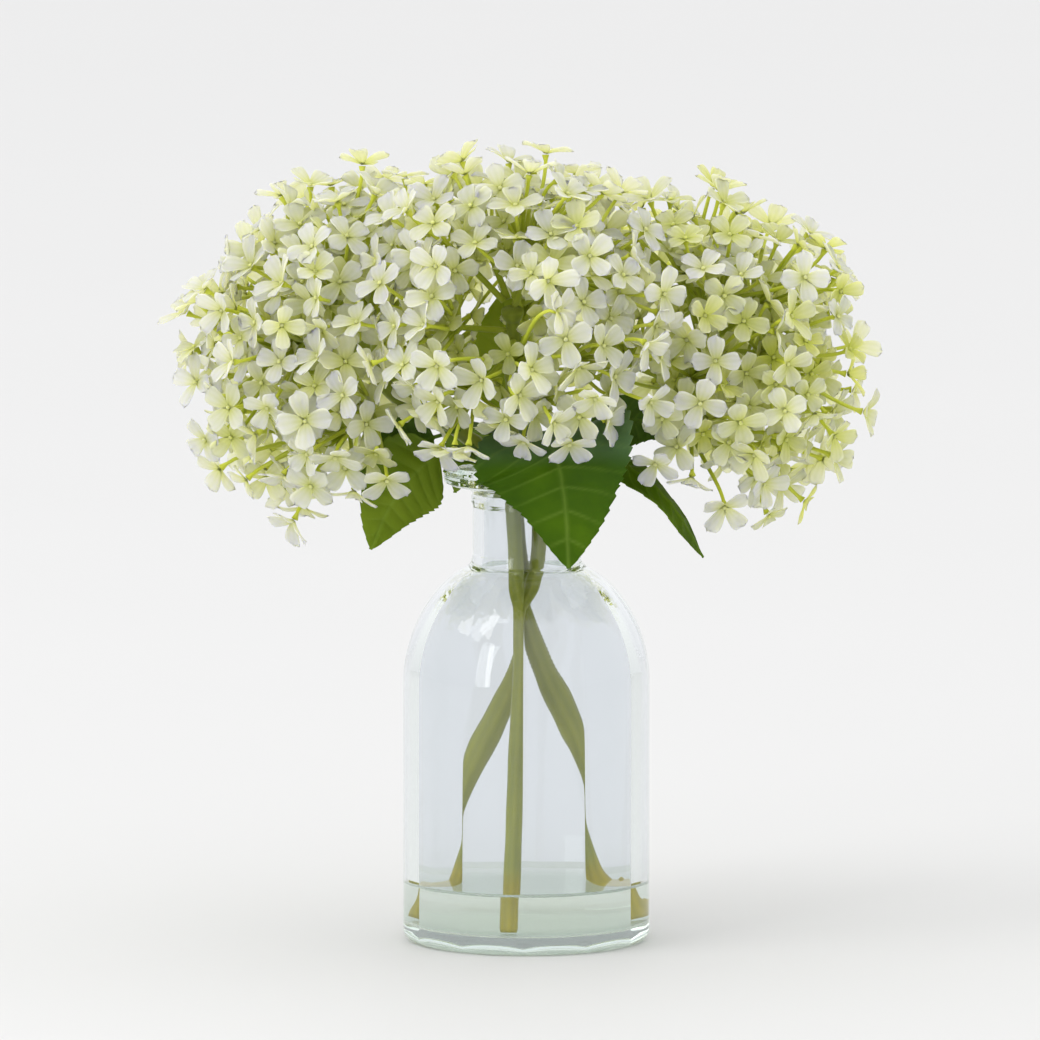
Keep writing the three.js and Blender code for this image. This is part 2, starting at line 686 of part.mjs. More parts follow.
// Four petals in one shallow funnel that narrows into the pedicel, down to the fork.
function floretSolid(floret, fork) {
  const normal = floretNormal(floret);
  const helper = Math.abs(normal.x) < 0.8 ? [1, 0, 0] : [0, 1, 0];
  const across = vector(helper).cross(normal).normalize();
  const points = [];
  const turn = 2 * Math.PI * mixed(floret.index, 0.3819660113);
  const cup = radians(FLORET.cup);
  const rim = 8;
  for (let i = 0; i < rim; i++) {
    const reach = FLORET.reach * (i % 2 ? FLORET.notch : 1);
    const spoke = across.clone().applyAxisAngle(normal, turn + (2 * Math.PI * i) / rim);
    points.push(
      floret.at.clone()
        .addScaledVector(spoke, reach * Math.cos(cup))
        .addScaledVector(normal, reach * Math.sin(cup)),
    );
  }
  const along = floret.at.clone().sub(fork).normalize();
  const spoke = across.clone().addScaledVector(along, -across.dot(along)).normalize();
  const ringAt = (centre, radius) => {
    for (let i = 0; i < PEDICEL.sides; i++) {
      const way = spoke.clone().applyAxisAngle(along, turn + (2 * Math.PI * i) / PEDICEL.sides);
      points.push(centre.clone().addScaledVector(way, radius));
    }
  };
  const inKnot = fork.clone().addScaledVector(along, BRANCH.knotRadius / 2);
  ringAt(floret.at.clone().addScaledVector(along, -FLORET.throat), PEDICEL.radius);
  ringAt(inKnot, PEDICEL.footRadius);
  points.push(floret.at.clone().addScaledVector(normal, 0.2), inKnot);
  const throat = rim;
  const foot = throat + PEDICEL.sides;
  const face = foot + PEDICEL.sides;
  const below = (i) => throat + (Math.round((i * PEDICEL.sides) / rim) % PEDICEL.sides);
  const faces = [];
  for (let i = 0; i < rim; i++) {
    const next = (i + 1) % rim;
    faces.push(face, i, next, i, below(i), next);
    if (below(i) !== below(i + 1)) faces.push(next, below(i), below(i + 1));
  }
  for (let i = 0; i < PEDICEL.sides; i++) {
    const next = (i + 1) % PEDICEL.sides;
    faces.push(throat + i, foot + i, foot + next, throat + i, foot + next, throat + next);
    faces.push(foot + i, face + 1, foot + next);
  }
  const geometry = new THREE.BufferGeometry();
  const places = points.flatMap((point) => point.toArray());
  geometry.setAttribute("position", new THREE.Float32BufferAttribute(places, 3));
  geometry.setIndex(faces);
  return solidOf(geometry);
}

// One spray: a branch off the rachis, a knot where it forks, and a pedicel to each floret.
function spray(head, { direction, florets }) {
  const root = sprayRoot(head, direction);
  const middle = new THREE.Vector3();
  for (const f of florets) middle.addScaledVector(f.at, 1 / florets.length);
  const fork = root.clone().addScaledVector(direction, BRANCH.forkShare * root.distanceTo(middle));
  const branch = new THREE.LineCurve3(root, fork);
  const extruded = { steps: 1, extrudePath: branch };
  let made = solidOf(new THREE.ExtrudeGeometry(circle(BRANCH.radius, BRANCH.sides), extruded));
  const knot = new THREE.OctahedronGeometry(BRANCH.knotRadius);
  knot.translate(fork.x, fork.y, fork.z);
  made = made.add(solidOf(knot));
  for (const floret of florets) made = made.add(floretSolid(floret, fork));
  return geometryOf(made);
}

// ---------- the whole arrangement ----------
const group = new THREE.Group();
group.add(mesh("vase", vase(), COLOURS.glass, 0.05, { transparent: true, opacity: 0.35 }));
group.add(mesh("water", water(), COLOURS.water, 0.05, { transparent: true, opacity: 0.4 }));
for (const head of HEADS) group.add(mesh(`stem_${head.name}`, stem(head), COLOURS.stem, 0.6));
for (const each of LEAVES) group.add(mesh(each.name, leaf(each), COLOURS.leaf, 0.55));
const florets = placeFlorets();
HEADS.forEach((head, h) => {
  groupSprays(florets, h).forEach((each, k) => {
    const name = `spray_${head.name}_${String(k + 1).padStart(2, "0")}`;
    group.add(mesh(name, spray(head, each), COLOURS.floret, 0.7));
  });
});

export default group;
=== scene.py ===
"""Three hydrangea heads in a fluted glass bottle vase, on a pale floor.

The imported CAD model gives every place: each spray, leaf, stem, the water and the vase is
remade here in detail over its own CAD node. Sizes are in millimetres until a mesh is made.
"""

import math

import bpy
import numpy as np
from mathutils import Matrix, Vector


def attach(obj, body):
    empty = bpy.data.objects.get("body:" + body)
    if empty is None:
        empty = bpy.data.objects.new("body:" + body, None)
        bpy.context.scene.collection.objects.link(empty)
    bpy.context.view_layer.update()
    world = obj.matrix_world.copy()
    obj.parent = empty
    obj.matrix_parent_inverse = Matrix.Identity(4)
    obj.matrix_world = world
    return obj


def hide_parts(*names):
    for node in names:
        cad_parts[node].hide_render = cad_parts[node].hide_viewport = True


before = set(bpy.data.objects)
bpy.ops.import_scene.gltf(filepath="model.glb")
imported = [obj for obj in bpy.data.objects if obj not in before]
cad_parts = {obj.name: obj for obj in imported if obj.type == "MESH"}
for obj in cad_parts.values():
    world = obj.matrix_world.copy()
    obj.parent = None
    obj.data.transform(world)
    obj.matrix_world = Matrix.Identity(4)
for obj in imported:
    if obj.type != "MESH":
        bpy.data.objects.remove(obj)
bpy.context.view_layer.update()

MM = 0.001
UP = np.array([0.0, 0.0, 1.0])

# ---------- sizes shared with the CAD model ----------
CLEARANCE = 0.3
BODY_RADIUS = 50.2
WALL = 3.4
FLUTES = 12
FLUTE_DEPTH = 1.2
FLUTE_TURN = -1.5
HEEL_RADIUS = 5.4
FLOOR_THICKNESS = 7.0
INNER_HEEL = 4.0
SHOULDER_Z = 104.5
DOME_HEIGHT = 53.4
NECK_RADIUS = 21.6
NECK_WALL = 4.3
NECK_FLARE = 5.43
NECK_BLEND = 7.0
COLLAR_RISE = 28.9
COLLAR_HEIGHT = 3.2
COLLAR_PROUD = 0.6
COLLAR_SLOPE = 0.8
LIP_RISE = 6.2
LIP_RADIUS = 33.4
LIP_HEIGHT = 7.9
LIP_ROUND = 2.4
MOUTH_FLARE = 5.0
MOUTH_DEPTH = 7.0
WATER_LEVEL = 23.6
INNER_RADIUS = BODY_RADIUS - WALL
NECK_INSIDE = NECK_RADIUS - NECK_WALL
DOME_END = NECK_RADIUS + NECK_FLARE
NECK_FOOT = SHOULDER_Z + DOME_HEIGHT * math.sqrt(1 - (DOME_END / BODY_RADIUS) ** 2)
COLLAR_Z = NECK_FOOT + COLLAR_RISE
LIP_BOTTOM = COLLAR_Z + LIP_RISE
LIP_TOP = LIP_BOTTOM + LIP_HEIGHT

STEM_RADIUS = 3.1
RACHIS_LENGTH = 24.0
KNOB_RADIUS = 4.9
CENTRE_SHARE = 0.75  # where along the rachis the ball of florets has its centre
# Direction in degrees and share of the room, on the floor, in the neck and in the mouth, then
# the bend above the lip, the foot of the rachis, and the rachis's lean and its direction.
# Heights above the vase count from the lip's top.
STEMS = {
    "left": ((8, 0.92), (104, 0.45), (143, 0.72), (-27, 8, 12.5), (-54, 13, 27.5), 35, 178),
    "centre": ((-101, 0.95), (-120, 0.58), (-120, 0.79), (-6, -18, 15.5), (-5, -25, 43.5), 20, -95),
    "right": ((174, 0.92), (-16, 0.27), (13, 0.66), (31, 8, 11.5), (57, 13, 25.5), 35, 4),
}

LEAF_THICKNESS = 0.9
PETIOLE_WIDTH = 1.4
# Stem, height on it, way off it, midrib, way across, width, fold in degrees, petiole's share.
# The midrib's places are a direction in degrees, the distance beyond the lip's edge and the
# height above its top.
LEAVES = {
    "leaf_front": (
        "centre", 10.5, (0.25, -0.95, 0.1),
        ((-85.2, 2.7, 14.5), (-77.3, 16.8, 10.5), (-74.7, 23.6, -6.5), (-72.3, 22.2, -35.5)),
        (0.97, -0.22, 0), 68, -6, 0.2),
    "leaf_left": (
        "left", 7.5, (-0.1, -0.95, -0.1),
        ((-169.7, 0.1, 5.5), (-165.1, 13.2, -2.5), (-164.7, 23.6, -15.5), (-165.6, 31, -32.5)),
        (-0.72, -0.3, 0.62), 37, -10, 0.3),
    "leaf_left_rear": (
        "left", 12.5, (-0.2, -0.8, 0.5),
        ((-177.1, 6.6, 10.5), (-174.3, 16.8, 9.5), (-174.3, 26.9, 4.5), (-175, 34.9, -7)),
        (0.2, 0.25, 0.95), 24, 6, 0.2),
    "leaf_right_upper": (
        "right", 5.5, (0.3, -0.8, 0.5),
        ((-4.2, -6.3, 13.5), (-13.2, 6.1, 18.5), (-14.6, 18.3, 18), (-13.8, 29.4, 11.5)),
        (0.1, 0.3, 0.95), 23, 5, 0.2),
    "leaf_right_lower": (
        "right", 0.5, (0.3, -0.9, 0.2),
        ((-30, -3.4, 6.5), (-31.3, 15.7, 1.5), (-22.5, 29.4, -13), (-13.5, 39.2, -35.5)),
        (0.25, 0.95, 0.18), 25, 8, 0.3),
    "leaf_lip": (
        "centre", 0.5, (-0.7, -0.5, 0.5),
        ((-126.9, -8.4, 4.5), (-128.9, 0, 6.5), (-131.1, 7.7, 5.5), (-132.5, 15.4, 1.5)),
        (-0.6, 0.72, 0.3), 19, 8, 0.25),
    "leaf_back_left": (
        "left", -1.5, (-0.1, 0.9, 0.4),
        ((110.6, -7.8, 7.5), (108.4, 10.9, 10.5), (110.6, 26.4, 1.5), (114, 37.8, -19.5)),
        (-0.9, -0.4, 0.1), 38, -8, 0.25),
    "leaf_back_right": (
        "right", -2.5, (0, 0.9, 0.4),
        ((55.7, -6.8, 6.5), (64.5, 13.1, 10.5), (64.7, 29.7, 1.5), (62.4, 42.2, -18.5)),
        (0.92, -0.38, 0.1), 38, -8, 0.25),
    "leaf_back_upright": (
        "centre", 11.5, (-0.1, 0.95, 0.2),
        ((153.4, -24.5, 21.5), (122, -14.5, 37.5), (113.5, -8.3, 53.5), (106.5, -5.2, 69.5)),
        (0.98, 0.1, 0), 24, 6, 0.25),
}

# How pale a leaf is, where that isn't 0.1: the pale green is partly the leaf's own tone and partly painted
# light, and on leaf_back_upright, which stands in shade behind the centre head, it is all painted light.
# Then how much painted sheen its foot has, where that isn't 0.1.
PALE_AND_PAINTED_LIGHT = {"leaf_front": 0.02, "leaf_left": 0.15, "leaf_back_upright": 1.0}
PAINTED_SHEEN = {"leaf_front": 0.35}

# ---------- sizes of the detail ----------
STEM_KNOTS = ((0.62, 0.16), (0.8, 0.2), (0.9, 0.16))  # share of the length, and of the radius
STEM_SIDES = 32
LEAF_GRID = (130, 49)
LEAF_VEINS = 8
TOOTH_DEPTH = 0.07  # as a share of the half width
PETAL_GRID = (9, 7)
PETAL_LENGTH = 10.8
PETAL_WIDTH = 9.3
PETAL_THICKNESS = 0.22
PETAL_OVERLAP = 0.3  # every other petal of a floret stands this much proud
PEDICEL_RADIUS = 0.72
PEDICEL_SIDES = 8
PEDICEL_RINGS = 14
BRANCH_RADIUS = 1.35
BRANCH_RINGS = 10
BUD_RADIUS = 0.95
EXTRA_TILT = 26.0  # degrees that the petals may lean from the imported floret
YOUNG = (-0.5, 0.4)  # share of young green in a floret, drawn between these
YOUNG_RIGHT = (-0.2, 1.0)  # the same in the right head, which is the greenest

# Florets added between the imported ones.
FILL_PAIRS = 30.0  # the most between two florets that get another one between them
FILL_TO_LEAF = 9.0
FILL_TILT = 50
# How deep in the head, as shares of the way out, how far from all others, and how young and green; the
# inner layer's green is partly painted shade.
FILL_OUTER = (0.80, 1.03, 11.0, 0.0)
FILL_INNER = (0.52, 0.74, 12.5, 0.7)

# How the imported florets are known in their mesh.
FLORET_REACH = 9.3
REACH_TOLERANCE = 0.35
FACE_LIFT = 0.2
FACE_NEIGHBOURS = 7
LEAST_CUP = 1.5
BACK_REACH = 2.1
BACK_DEPTH = 0.2

TRAPPED_LIGHT = (0.925, 0.945, 0.93)  # what passes of light that is caught in a glass wall

# ---------- camera ----------
CAMERA_TARGET = (-2.6, 0.0, 170.0)
CAMERA_DISTANCE = 6000.0
CAMERA_ELEVATION = 7.0
VIEW_WIDTH = 417.7  # how wide the picture is at the vase's axis


# ---------- vectors ----------
def unit(v):
    return v / np.linalg.norm(v)


def square_to(v, axis):
    """v without its part along axis, one long."""
    return unit(v - np.dot(v, axis) * axis)


def any_square_to(axis):
    helper = UP if abs(axis[2]) < 0.8 else np.array([1.0, 0.0, 0.0])
    return square_to(helper, axis)


def smooth_step(x, low, high):
    t = np.clip((x - low) / (high - low), 0, 1)
    return t * t * (3 - 2 * t)


# ---------- curves ----------
def curve_point(points, t):
    """A point on the centripetal Catmull-Rom curve through points, with t from 0 to 1."""
    points = np.asarray(points, float)
    segments = len(points) - 1
    i = min(int(t * segments), segments - 1)
    w = t * segments - i
    before = points[i - 1] if i > 0 else 2 * points[0] - points[1]
    a = points[i]
    b = points[i + 1]
    after = points[i + 2] if i + 2 <= segments else 2 * points[-1] - points[-2]
    d0 = np.linalg.norm(a - before) ** 0.5
    d1 = np.linalg.norm(b - a) ** 0.5
    d2 = np.linalg.norm(after - b) ** 0.5
    slope_a = d1 * ((a - before) / d0 - (b - before) / (d0 + d1) + (b - a) / d1)
    slope_b = d1 * ((b - a) / d1 - (after - a) / (d1 + d2) + (after - b) / d2)
    bend = -3 * a + 3 * b - 2 * slope_a - slope_b
    cubic = 2 * a - 2 * b + slope_a + slope_b
    return a + slope_a * w + bend * w * w + cubic * w * w * w


def curve_tangent(points, t):
    low = max(0.0, t - 0.0005)
    high = min(1.0, t + 0.0005)
    return unit(curve_point(points, high) - curve_point(points, low))


def bezier(a, b, c, d, count):
    t = np.linspace(0, 1, count)[:, None]
    return (1 - t) ** 3 * a + 3 * (1 - t) ** 2 * t * b + 3 * (1 - t) * t * t * c + t ** 3 * d


# ---------- meshes ----------
class Shape:
    """Points, faces and point values gathered for one mesh, in millimetres."""

    def __init__(self, *values):
        self.points = []
        self.faces = []
        self.materials = []
        self.values = {name: [] for name in values}
        self.count = 0

    def add(self, points, faces, material=0, **values):
        points = np.asarray(points, float).reshape(-1, 3)
        self.points.append(points)
        self.faces.extend([[corner + self.count for corner in face] for face in faces])
        self.materials.extend([material] * len(faces))
        for name, store in self.values.items():
            given = np.broadcast_to(np.asarray(values.get(name, 0.0), float), len(points))
            store.append(given)
        self.count += len(points)

    def build(self, name, *materials):
        mesh = bpy.data.meshes.new(name)
        mesh.from_pydata((np.concatenate(self.points) * MM).tolist(), [], self.faces)
        for material in materials:
            mesh.materials.append(material)
        mesh.polygons.foreach_set("material_index", self.materials)
        mesh.polygons.foreach_set("use_smooth", [True] * len(self.faces))
        for value, store in self.values.items():
            attribute = mesh.attributes.new(value, "FLOAT", "POINT")
            attribute.data.foreach_set("value", np.concatenate(store).astype(np.float32))
        mesh.update()
        piece = bpy.data.objects.new(name, mesh)
        bpy.context.scene.collection.objects.link(piece)
        return piece


def grid_faces(rows, columns, closed=False):
    """Quads over rows by columns of points; closed joins the last column to the first."""
    last = columns if closed else columns - 1
    i, j = np.meshgrid(np.arange(rows - 1), np.arange(last), indexing="ij")
    k = (j + 1) % columns
    quads = np.stack([i * columns + j, i * columns + k, (i + 1) * columns + k, (i + 1) * columns + j])
    return quads.reshape(4, -1).T.tolist()


def end_fans(rows, columns):
    """Triangles that close a ringed surface, from a point at each end of it."""
    start = rows * columns
    fans = []
    for j in range(columns):
        k = (j + 1) % columns
        fans.append([start, k, j])
        fans.append([start + 1, start - columns + j, start - columns + k])
    return fans


def sheet_faces(rows, columns):
    """Quads over the two sides of a thin sheet and round its edge."""
    top = np.array(grid_faces(rows, columns))
    layer = rows * columns
    bottom = top[:, ::-1] + layer
    rim = list(range(columns))
    rim += [i * columns + columns - 1 for i in range(1, rows)]
    rim += [(rows - 1) * columns + j for j in range(columns - 2, -1, -1)]
    rim += [i * columns for i in range(rows - 2, 0, -1)]
    rim = np.array(rim)
    ahead = np.roll(rim, -1)
    edge = np.stack([ahead, rim, rim + layer, ahead + layer]).T
    return np.concatenate([top, bottom, edge]).tolist()


def thicken(points, thickness):
    """The points of a sheet's upper side, then of its lower side."""
    across = np.gradient(points, axis=1)
    along = np.gradient(points, axis=0)
    normal = np.cross(along, across)
    normal /= np.maximum(np.linalg.norm(normal, axis=2, keepdims=True), 1e-9)
    half = normal * thickness / 2
    return np.concatenate([(points - half).reshape(-1, 3), (points + half).reshape(-1, 3)])


def sweep(path, radii, sides, ripple=None):
    """Rings of points round a path, turned as little as can be from ring to ring."""
    path = np.asarray(path, float)
    tangents = np.gradient(path, axis=0)
    side = any_square_to(unit(tangents[0]))
    angles = np.linspace(0, 2 * math.pi, sides, endpoint=False)
    rings = []
    for at, tangent, radius in zip(path, tangents, radii):
        tangent = unit(tangent)
        side = square_to(side, tangent)
        other = np.cross(tangent, side)
        r = radius * (1 + (0 if ripple is None else ripple(angles)))
        rings.append(at + np.outer(r * np.cos(angles), side) + np.outer(r * np.sin(angles), other))
    return np.array(rings)


def add_tube(shape, path, radii, sides, material=0, ripple=None, **values):
    """A closed tube with flat ends."""
    rings = sweep(path, radii, sides, ripple)
    count = len(path)
    points = np.concatenate([rings.reshape(-1, 3), [path[0]], [path[-1]]])
    faces = grid_faces(count, sides, closed=True) + end_fans(count, sides)
    shape.add(points, faces, material, **values)


def crease_angles(per_flute):
    """Angles all round, crowded together at the creases so that these stay crisp."""
    even = np.linspace(0, FLUTES, FLUTES * per_flute, endpoint=False)
    crowded = even - 0.94 * np.sin(2 * math.pi * even) / (2 * math.pi)
    return crowded * 2 * math.pi / FLUTES + math.radians(FLUTE_TURN)


def lathe(profile, angles, inset=None):
    """Rings of points round +Z; the first and last profile points lie on the axis."""
    segments = len(angles)
    inner = profile[1:-1]
    r = np.repeat(inner[:, :1], segments, axis=1)
    z = np.repeat(inner[:, 1:], segments, axis=1)
    if inset is not None:
        r = r - inset(r, z, angles[None, :])
    rings = np.stack([r * np.cos(angles), r * np.sin(angles), z], axis=2).reshape(-1, 3)
    points = np.concatenate([rings, [[0, 0, profile[0][1]], [0, 0, profile[-1][1]]]])
    return points, grid_faces(len(inner), segments, closed=True) + end_fans(len(inner), segments)


def rounded(profile, step, cuts):
    """The profile with its corners cut round over about one step."""
    dense = [np.asarray(profile[0], float)]
    for a, b in zip(profile[:-1], profile[1:]):
        a = np.asarray(a, float)
        b = np.asarray(b, float)
        pieces = max(1, math.ceil(np.linalg.norm(b - a) / step))
        dense.extend(a + (b - a) * (i + 1) / pieces for i in range(pieces))
    points = np.array(dense)
    for _ in range(cuts):
        near = 0.75 * points[:-1] + 0.25 * points[1:]
        far = 0.25 * points[:-1] + 0.75 * points[1:]
        middle = np.stack([near, far], axis=1).reshape(-1, 2)
        points = np.concatenate([points[:1], middle[1:-1], points[-1:]])
    return points


# ---------- materials ----------
class Nodes:
    """A new material's node tree, with short calls to add and join nodes."""

    def __init__(self, name):
        self.material = bpy.data.materials.new(name)
        self.material.use_nodes = True
        self.tree = self.material.node_tree
        self.shader = self.tree.nodes["Principled BSDF"]

    def add(self, kind, **settings):
        node = self.tree.nodes.new(kind)
        for key, value in settings.items():
            setattr(node, key, value)
        return node

    def join(self, source, target):
        self.tree.links.new(source, target)

    def value(self, name):
        return self.add("ShaderNodeAttribute", attribute_name=name).outputs["Fac"]

    def noise(self, scale, detail=2.0, roughness=0.5, stretch=(1, 1, 1)):
        place = self.add("ShaderNodeTexCoord").outputs["Object"]
        mapping = self.add("ShaderNodeMapping")
        mapping.inputs["Scale"].default_value = stretch
        self.join(place, mapping.inputs["Vector"])
        texture = self.add("ShaderNodeTexNoise")
        texture.inputs["Scale"].default_value = scale
        texture.inputs["Detail"].default_value = detail
        texture.inputs["Roughness"].default_value = roughness
        self.join(mapping.outputs["Vector"], texture.inputs["Vector"])
        return texture.outputs["Fac"]

    def ramp(self, source, *stops):
        ramp = self.add("ShaderNodeValToRGB")
        elements = ramp.color_ramp.elements
        while len(elements) < len(stops):
            elements.new(0.5)
        for element, (position, colour) in zip(elements, stops):
            element.position = position
            element.color = (*colour, 1)
        self.join(source, ramp.inputs["Fac"])
        return ramp.outputs["Color"]

    def math(self, operation, a, b):
        node = self.add("ShaderNodeMath", operation=operation)
        for socket, given in zip(node.inputs, (a, b)):
            if isinstance(given, (int, float)):
                socket.default_value = given
            else:
                self.join(given, socket)
        return node.outputs["Value"]

    def spread(self, source, low, high, to_low, to_high):
        node = self.add("ShaderNodeMapRange")
        node.inputs["From Min"].default_value = low
        node.inputs["From Max"].default_value = high
        node.inputs["To Min"].default_value = to_low
        node.inputs["To Max"].default_value = to_high
        self.join(source, node.inputs["Value"])
        return node.outputs["Result"]

    def mix(self, share, a, b, blend="MIX"):
        node = self.add("ShaderNodeMix", data_type="RGBA", blend_type=blend)
        factor, first, second = node.inputs[0], node.inputs[6], node.inputs[7]
        for socket, given in ((factor, share), (first, a), (second, b)):
            if isinstance(given, (int, float)):
                socket.default_value = given
            elif isinstance(given, tuple):
                socket.default_value = (*given, 1)
            else:
                self.join(given, socket)
        return node.outputs[2]

    def bump(self, height, strength, distance):
        node = self.add("ShaderNodeBump")
        node.inputs["Strength"].default_value = strength
        node.inputs["Distance"].default_value = distance
        self.join(height, node.inputs["Height"])
        self.join(node.outputs["Normal"], self.shader.inputs["Normal"])


def petal_material():
    """Cream, lime at the throat, lime-green on young florets and, as painted shade, on the florets deep in
    the head, with fine lengthwise veins.
    """
    n = Nodes("petal")
    reach = n.value("reach")
    tone = n.value("tone")
    young = n.value("young")
    cloud = n.noise(90, 3.0)
    fresh = n.ramp(
        reach, (0.0, (0.60, 0.66, 0.08)), (0.2, (0.78, 0.80, 0.30)),
        (0.5, (0.90, 0.89, 0.62)), (1.0, (0.93, 0.915, 0.80)),
    )
    green = n.ramp(
        reach, (0.0, (0.46, 0.55, 0.02)), (0.4, (0.66, 0.71, 0.08)), (1.0, (0.80, 0.82, 0.28)),
    )
    # The green share marks young florets and, deep in the head, painted shade.
    colour = n.mix(young, fresh, green)
    warmth = n.ramp(
        tone, (0.0, (0.93, 0.95, 0.78)), (0.5, (1.0, 1.0, 1.0)), (1.0, (1.0, 0.97, 0.92)),
    )
    colour = n.mix(0.6, colour, warmth, "MULTIPLY")
    blotch = n.ramp(cloud, (0.3, (0.90, 0.93, 0.82)), (0.65, (1.0, 1.0, 1.0)))
    colour = n.mix(0.7, colour, blotch, "MULTIPLY")
    vein = n.value("vein")
    veins = n.ramp(vein, (0.0, (1.0, 1.0, 1.0)), (1.0, (0.90, 0.92, 0.74)))
    colour = n.mix(0.75, colour, veins, "MULTIPLY")
    n.join(colour, n.shader.inputs["Base Color"])
    n.join(n.spread(cloud, 0.3, 0.7, 0.5, 0.68), n.shader.inputs["Roughness"])
    n.shader.inputs["Subsurface Weight"].default_value = 0.8
    n.shader.inputs["Subsurface Radius"].default_value = (0.006, 0.006, 0.002)
    n.shader.inputs["Subsurface Scale"].default_value = 1.0
    n.shader.inputs["Sheen Weight"].default_value = 0.12
    n.shader.inputs["Specular IOR Level"].default_value = 0.3
    n.bump(n.math("ADD", n.math("MULTIPLY", vein, -0.6), n.noise(700, 2.0)), 0.35, 0.0002)
    return n.material


def stalk_material():
    """Olive to yellow-green pedicels."""
    n = Nodes("stalk")
    patch = n.noise(60, 3.0)
    base = n.ramp(
        patch, (0.25, (0.50, 0.57, 0.03)), (0.55, (0.60, 0.66, 0.06)), (0.8, (0.68, 0.72, 0.14)),
    )
    tip = n.ramp(
        n.value("reach"), (0.0, (0.72, 0.76, 0.6)), (0.6, (1.0, 1.0, 1.0)), (1.0, (1.15, 1.12, 1.1)),
    )
    n.join(n.mix(1.0, base, tip, "MULTIPLY"), n.shader.inputs["Base Color"])
    n.join(n.spread(patch, 0.3, 0.7, 0.42, 0.6), n.shader.inputs["Roughness"])
    n.shader.inputs["Subsurface Weight"].default_value = 0.1
    n.shader.inputs["Subsurface Radius"].default_value = (0.001, 0.001, 0.0004)
    n.shader.inputs["Subsurface Scale"].default_value = 1.0
    n.bump(n.noise(900, 3.0, 0.6, (1, 1, 0.3)), 0.3, 0.0002)
    return n.material


def stem_material():
    """Olive skin, darker up at the heads and yellower under water, pale at the cut."""
    n = Nodes("stem")
    patch = n.noise(45, 4.0, 0.6, (1, 1, 0.35))
    height = n.value("height")
    along = n.ramp(
        height, (0.0, (0.46, 0.36, 0.004)), (0.07, (0.42, 0.34, 0.006)), (0.1, (0.30, 0.31, 0.035)),
        (0.45, (0.24, 0.25, 0.012)), (0.66, (0.17, 0.20, 0.015)), (1.0, (0.34, 0.40, 0.05)),
    )
    skin = n.ramp(patch, (0.3, (0.72, 0.76, 0.66)), (0.7, (1.12, 1.1, 1.05)))
    colour = n.mix(1.0, along, skin, "MULTIPLY")
    lines = n.ramp(n.value("line"), (0.0, (0.86, 0.88, 0.8)), (1.0, (1.08, 1.06, 1.02)))
    n.join(n.mix(0.8, colour, lines, "MULTIPLY"), n.shader.inputs["Base Color"])
    n.join(n.spread(patch, 0.3, 0.7, 0.38, 0.58), n.shader.inputs["Roughness"])
    n.bump(n.noise(600, 3.0, 0.6, (1, 1, 0.15)), 0.3, 0.0003)
    return n.material


def leaf_material():
    """Green with paler veins, a dull underside, a paler green that is partly painted light, and a bluish
    painted sheen higher up.
    """
    n = Nodes("leaf")
    cloud = n.noise(38, 4.0)
    blade = n.ramp(
        cloud, (0.25, (0.022, 0.068, 0.001)), (0.55, (0.042, 0.105, 0.001)), (0.8, (0.072, 0.155, 0.002)),
    )
    # A paler green: partly the leaves' own tone, partly painted light that lifts the shade, most of all on
    # leaf_back_upright.
    light = n.ramp(cloud, (0.3, (0.28, 0.36, 0.008)), (0.7, (0.42, 0.48, 0.02)))
    under = n.ramp(cloud, (0.3, (0.09, 0.155, 0.006)), (0.7, (0.14, 0.215, 0.014)))
    # A bluish painted sheen: a reflection painted on the leaf's upper part.
    bloom = n.ramp(cloud, (0.3, (0.14, 0.24, 0.15)), (0.7, (0.26, 0.36, 0.28)))
    ridge = n.ramp(cloud, (0.3, (0.20, 0.32, 0.04)), (0.7, (0.30, 0.42, 0.08)))
    colour = n.mix(n.value("under"), blade, under)
    colour = n.mix(n.value("pale"), colour, light)
    colour = n.mix(n.value("bloom"), colour, bloom)
    colour = n.mix(n.math("MULTIPLY", n.value("vein"), 0.22), colour, ridge)
    n.join(colour, n.shader.inputs["Base Color"])
    n.join(n.spread(cloud, 0.3, 0.7, 0.45, 0.6), n.shader.inputs["Roughness"])
    n.shader.inputs["Subsurface Weight"].default_value = 0.12
    n.shader.inputs["Subsurface Radius"].default_value = (0.0008, 0.0015, 0.0003)
    n.shader.inputs["Subsurface Scale"].default_value = 1.0
    n.shader.inputs["Specular IOR Level"].default_value = 0.08
    n.bump(n.noise(420, 3.0, 0.6), 0.35, 0.0004)
    return n.material


def clear_material(name, colour, ior, tint, density, ripple):
    """A clear solid that is tinted where it is thick, with a faintly uneven surface."""
    n = Nodes(name)
    wave = n.noise(ripple, 2.0, 0.5, (1, 1, 0.35))
    n.shader.inputs["Base Color"].default_value = (*colour, 1)
    n.shader.inputs["Transmission Weight"].default_value = 1.0
    n.shader.inputs["IOR"].default_value = ior
    n.join(n.spread(wave, 0.3, 0.7, 0.0, 0.015), n.shader.inputs["Roughness"])
    n.bump(wave, 0.4, 0.001)
    inside = n.add("ShaderNodeVolumeAbsorption")
    inside.inputs["Color"].default_value = (*tint, 1)
    inside.inputs["Density"].default_value = density
    output = n.tree.nodes["Material Output"]
    n.join(inside.outputs["Volume"], output.inputs["Volume"])
    # Light that has crossed many surfaces goes straight on, or it would end as black.
    depth = n.math("GREATER_THAN", n.add("ShaderNodeLightPath").outputs["Ray Depth"], 3.5)
    through = n.add("ShaderNodeBsdfTransparent")
    through.inputs["Color"].default_value = (*TRAPPED_LIGHT, 1)
    blend = n.add("ShaderNodeMixShader")
    n.join(depth, blend.inputs[0])
    n.join(n.shader.outputs[0], blend.inputs[1])
    n.join(through.outputs[0], blend.inputs[2])
    n.join(blend.outputs[0], output.inputs["Surface"])
    return n.material


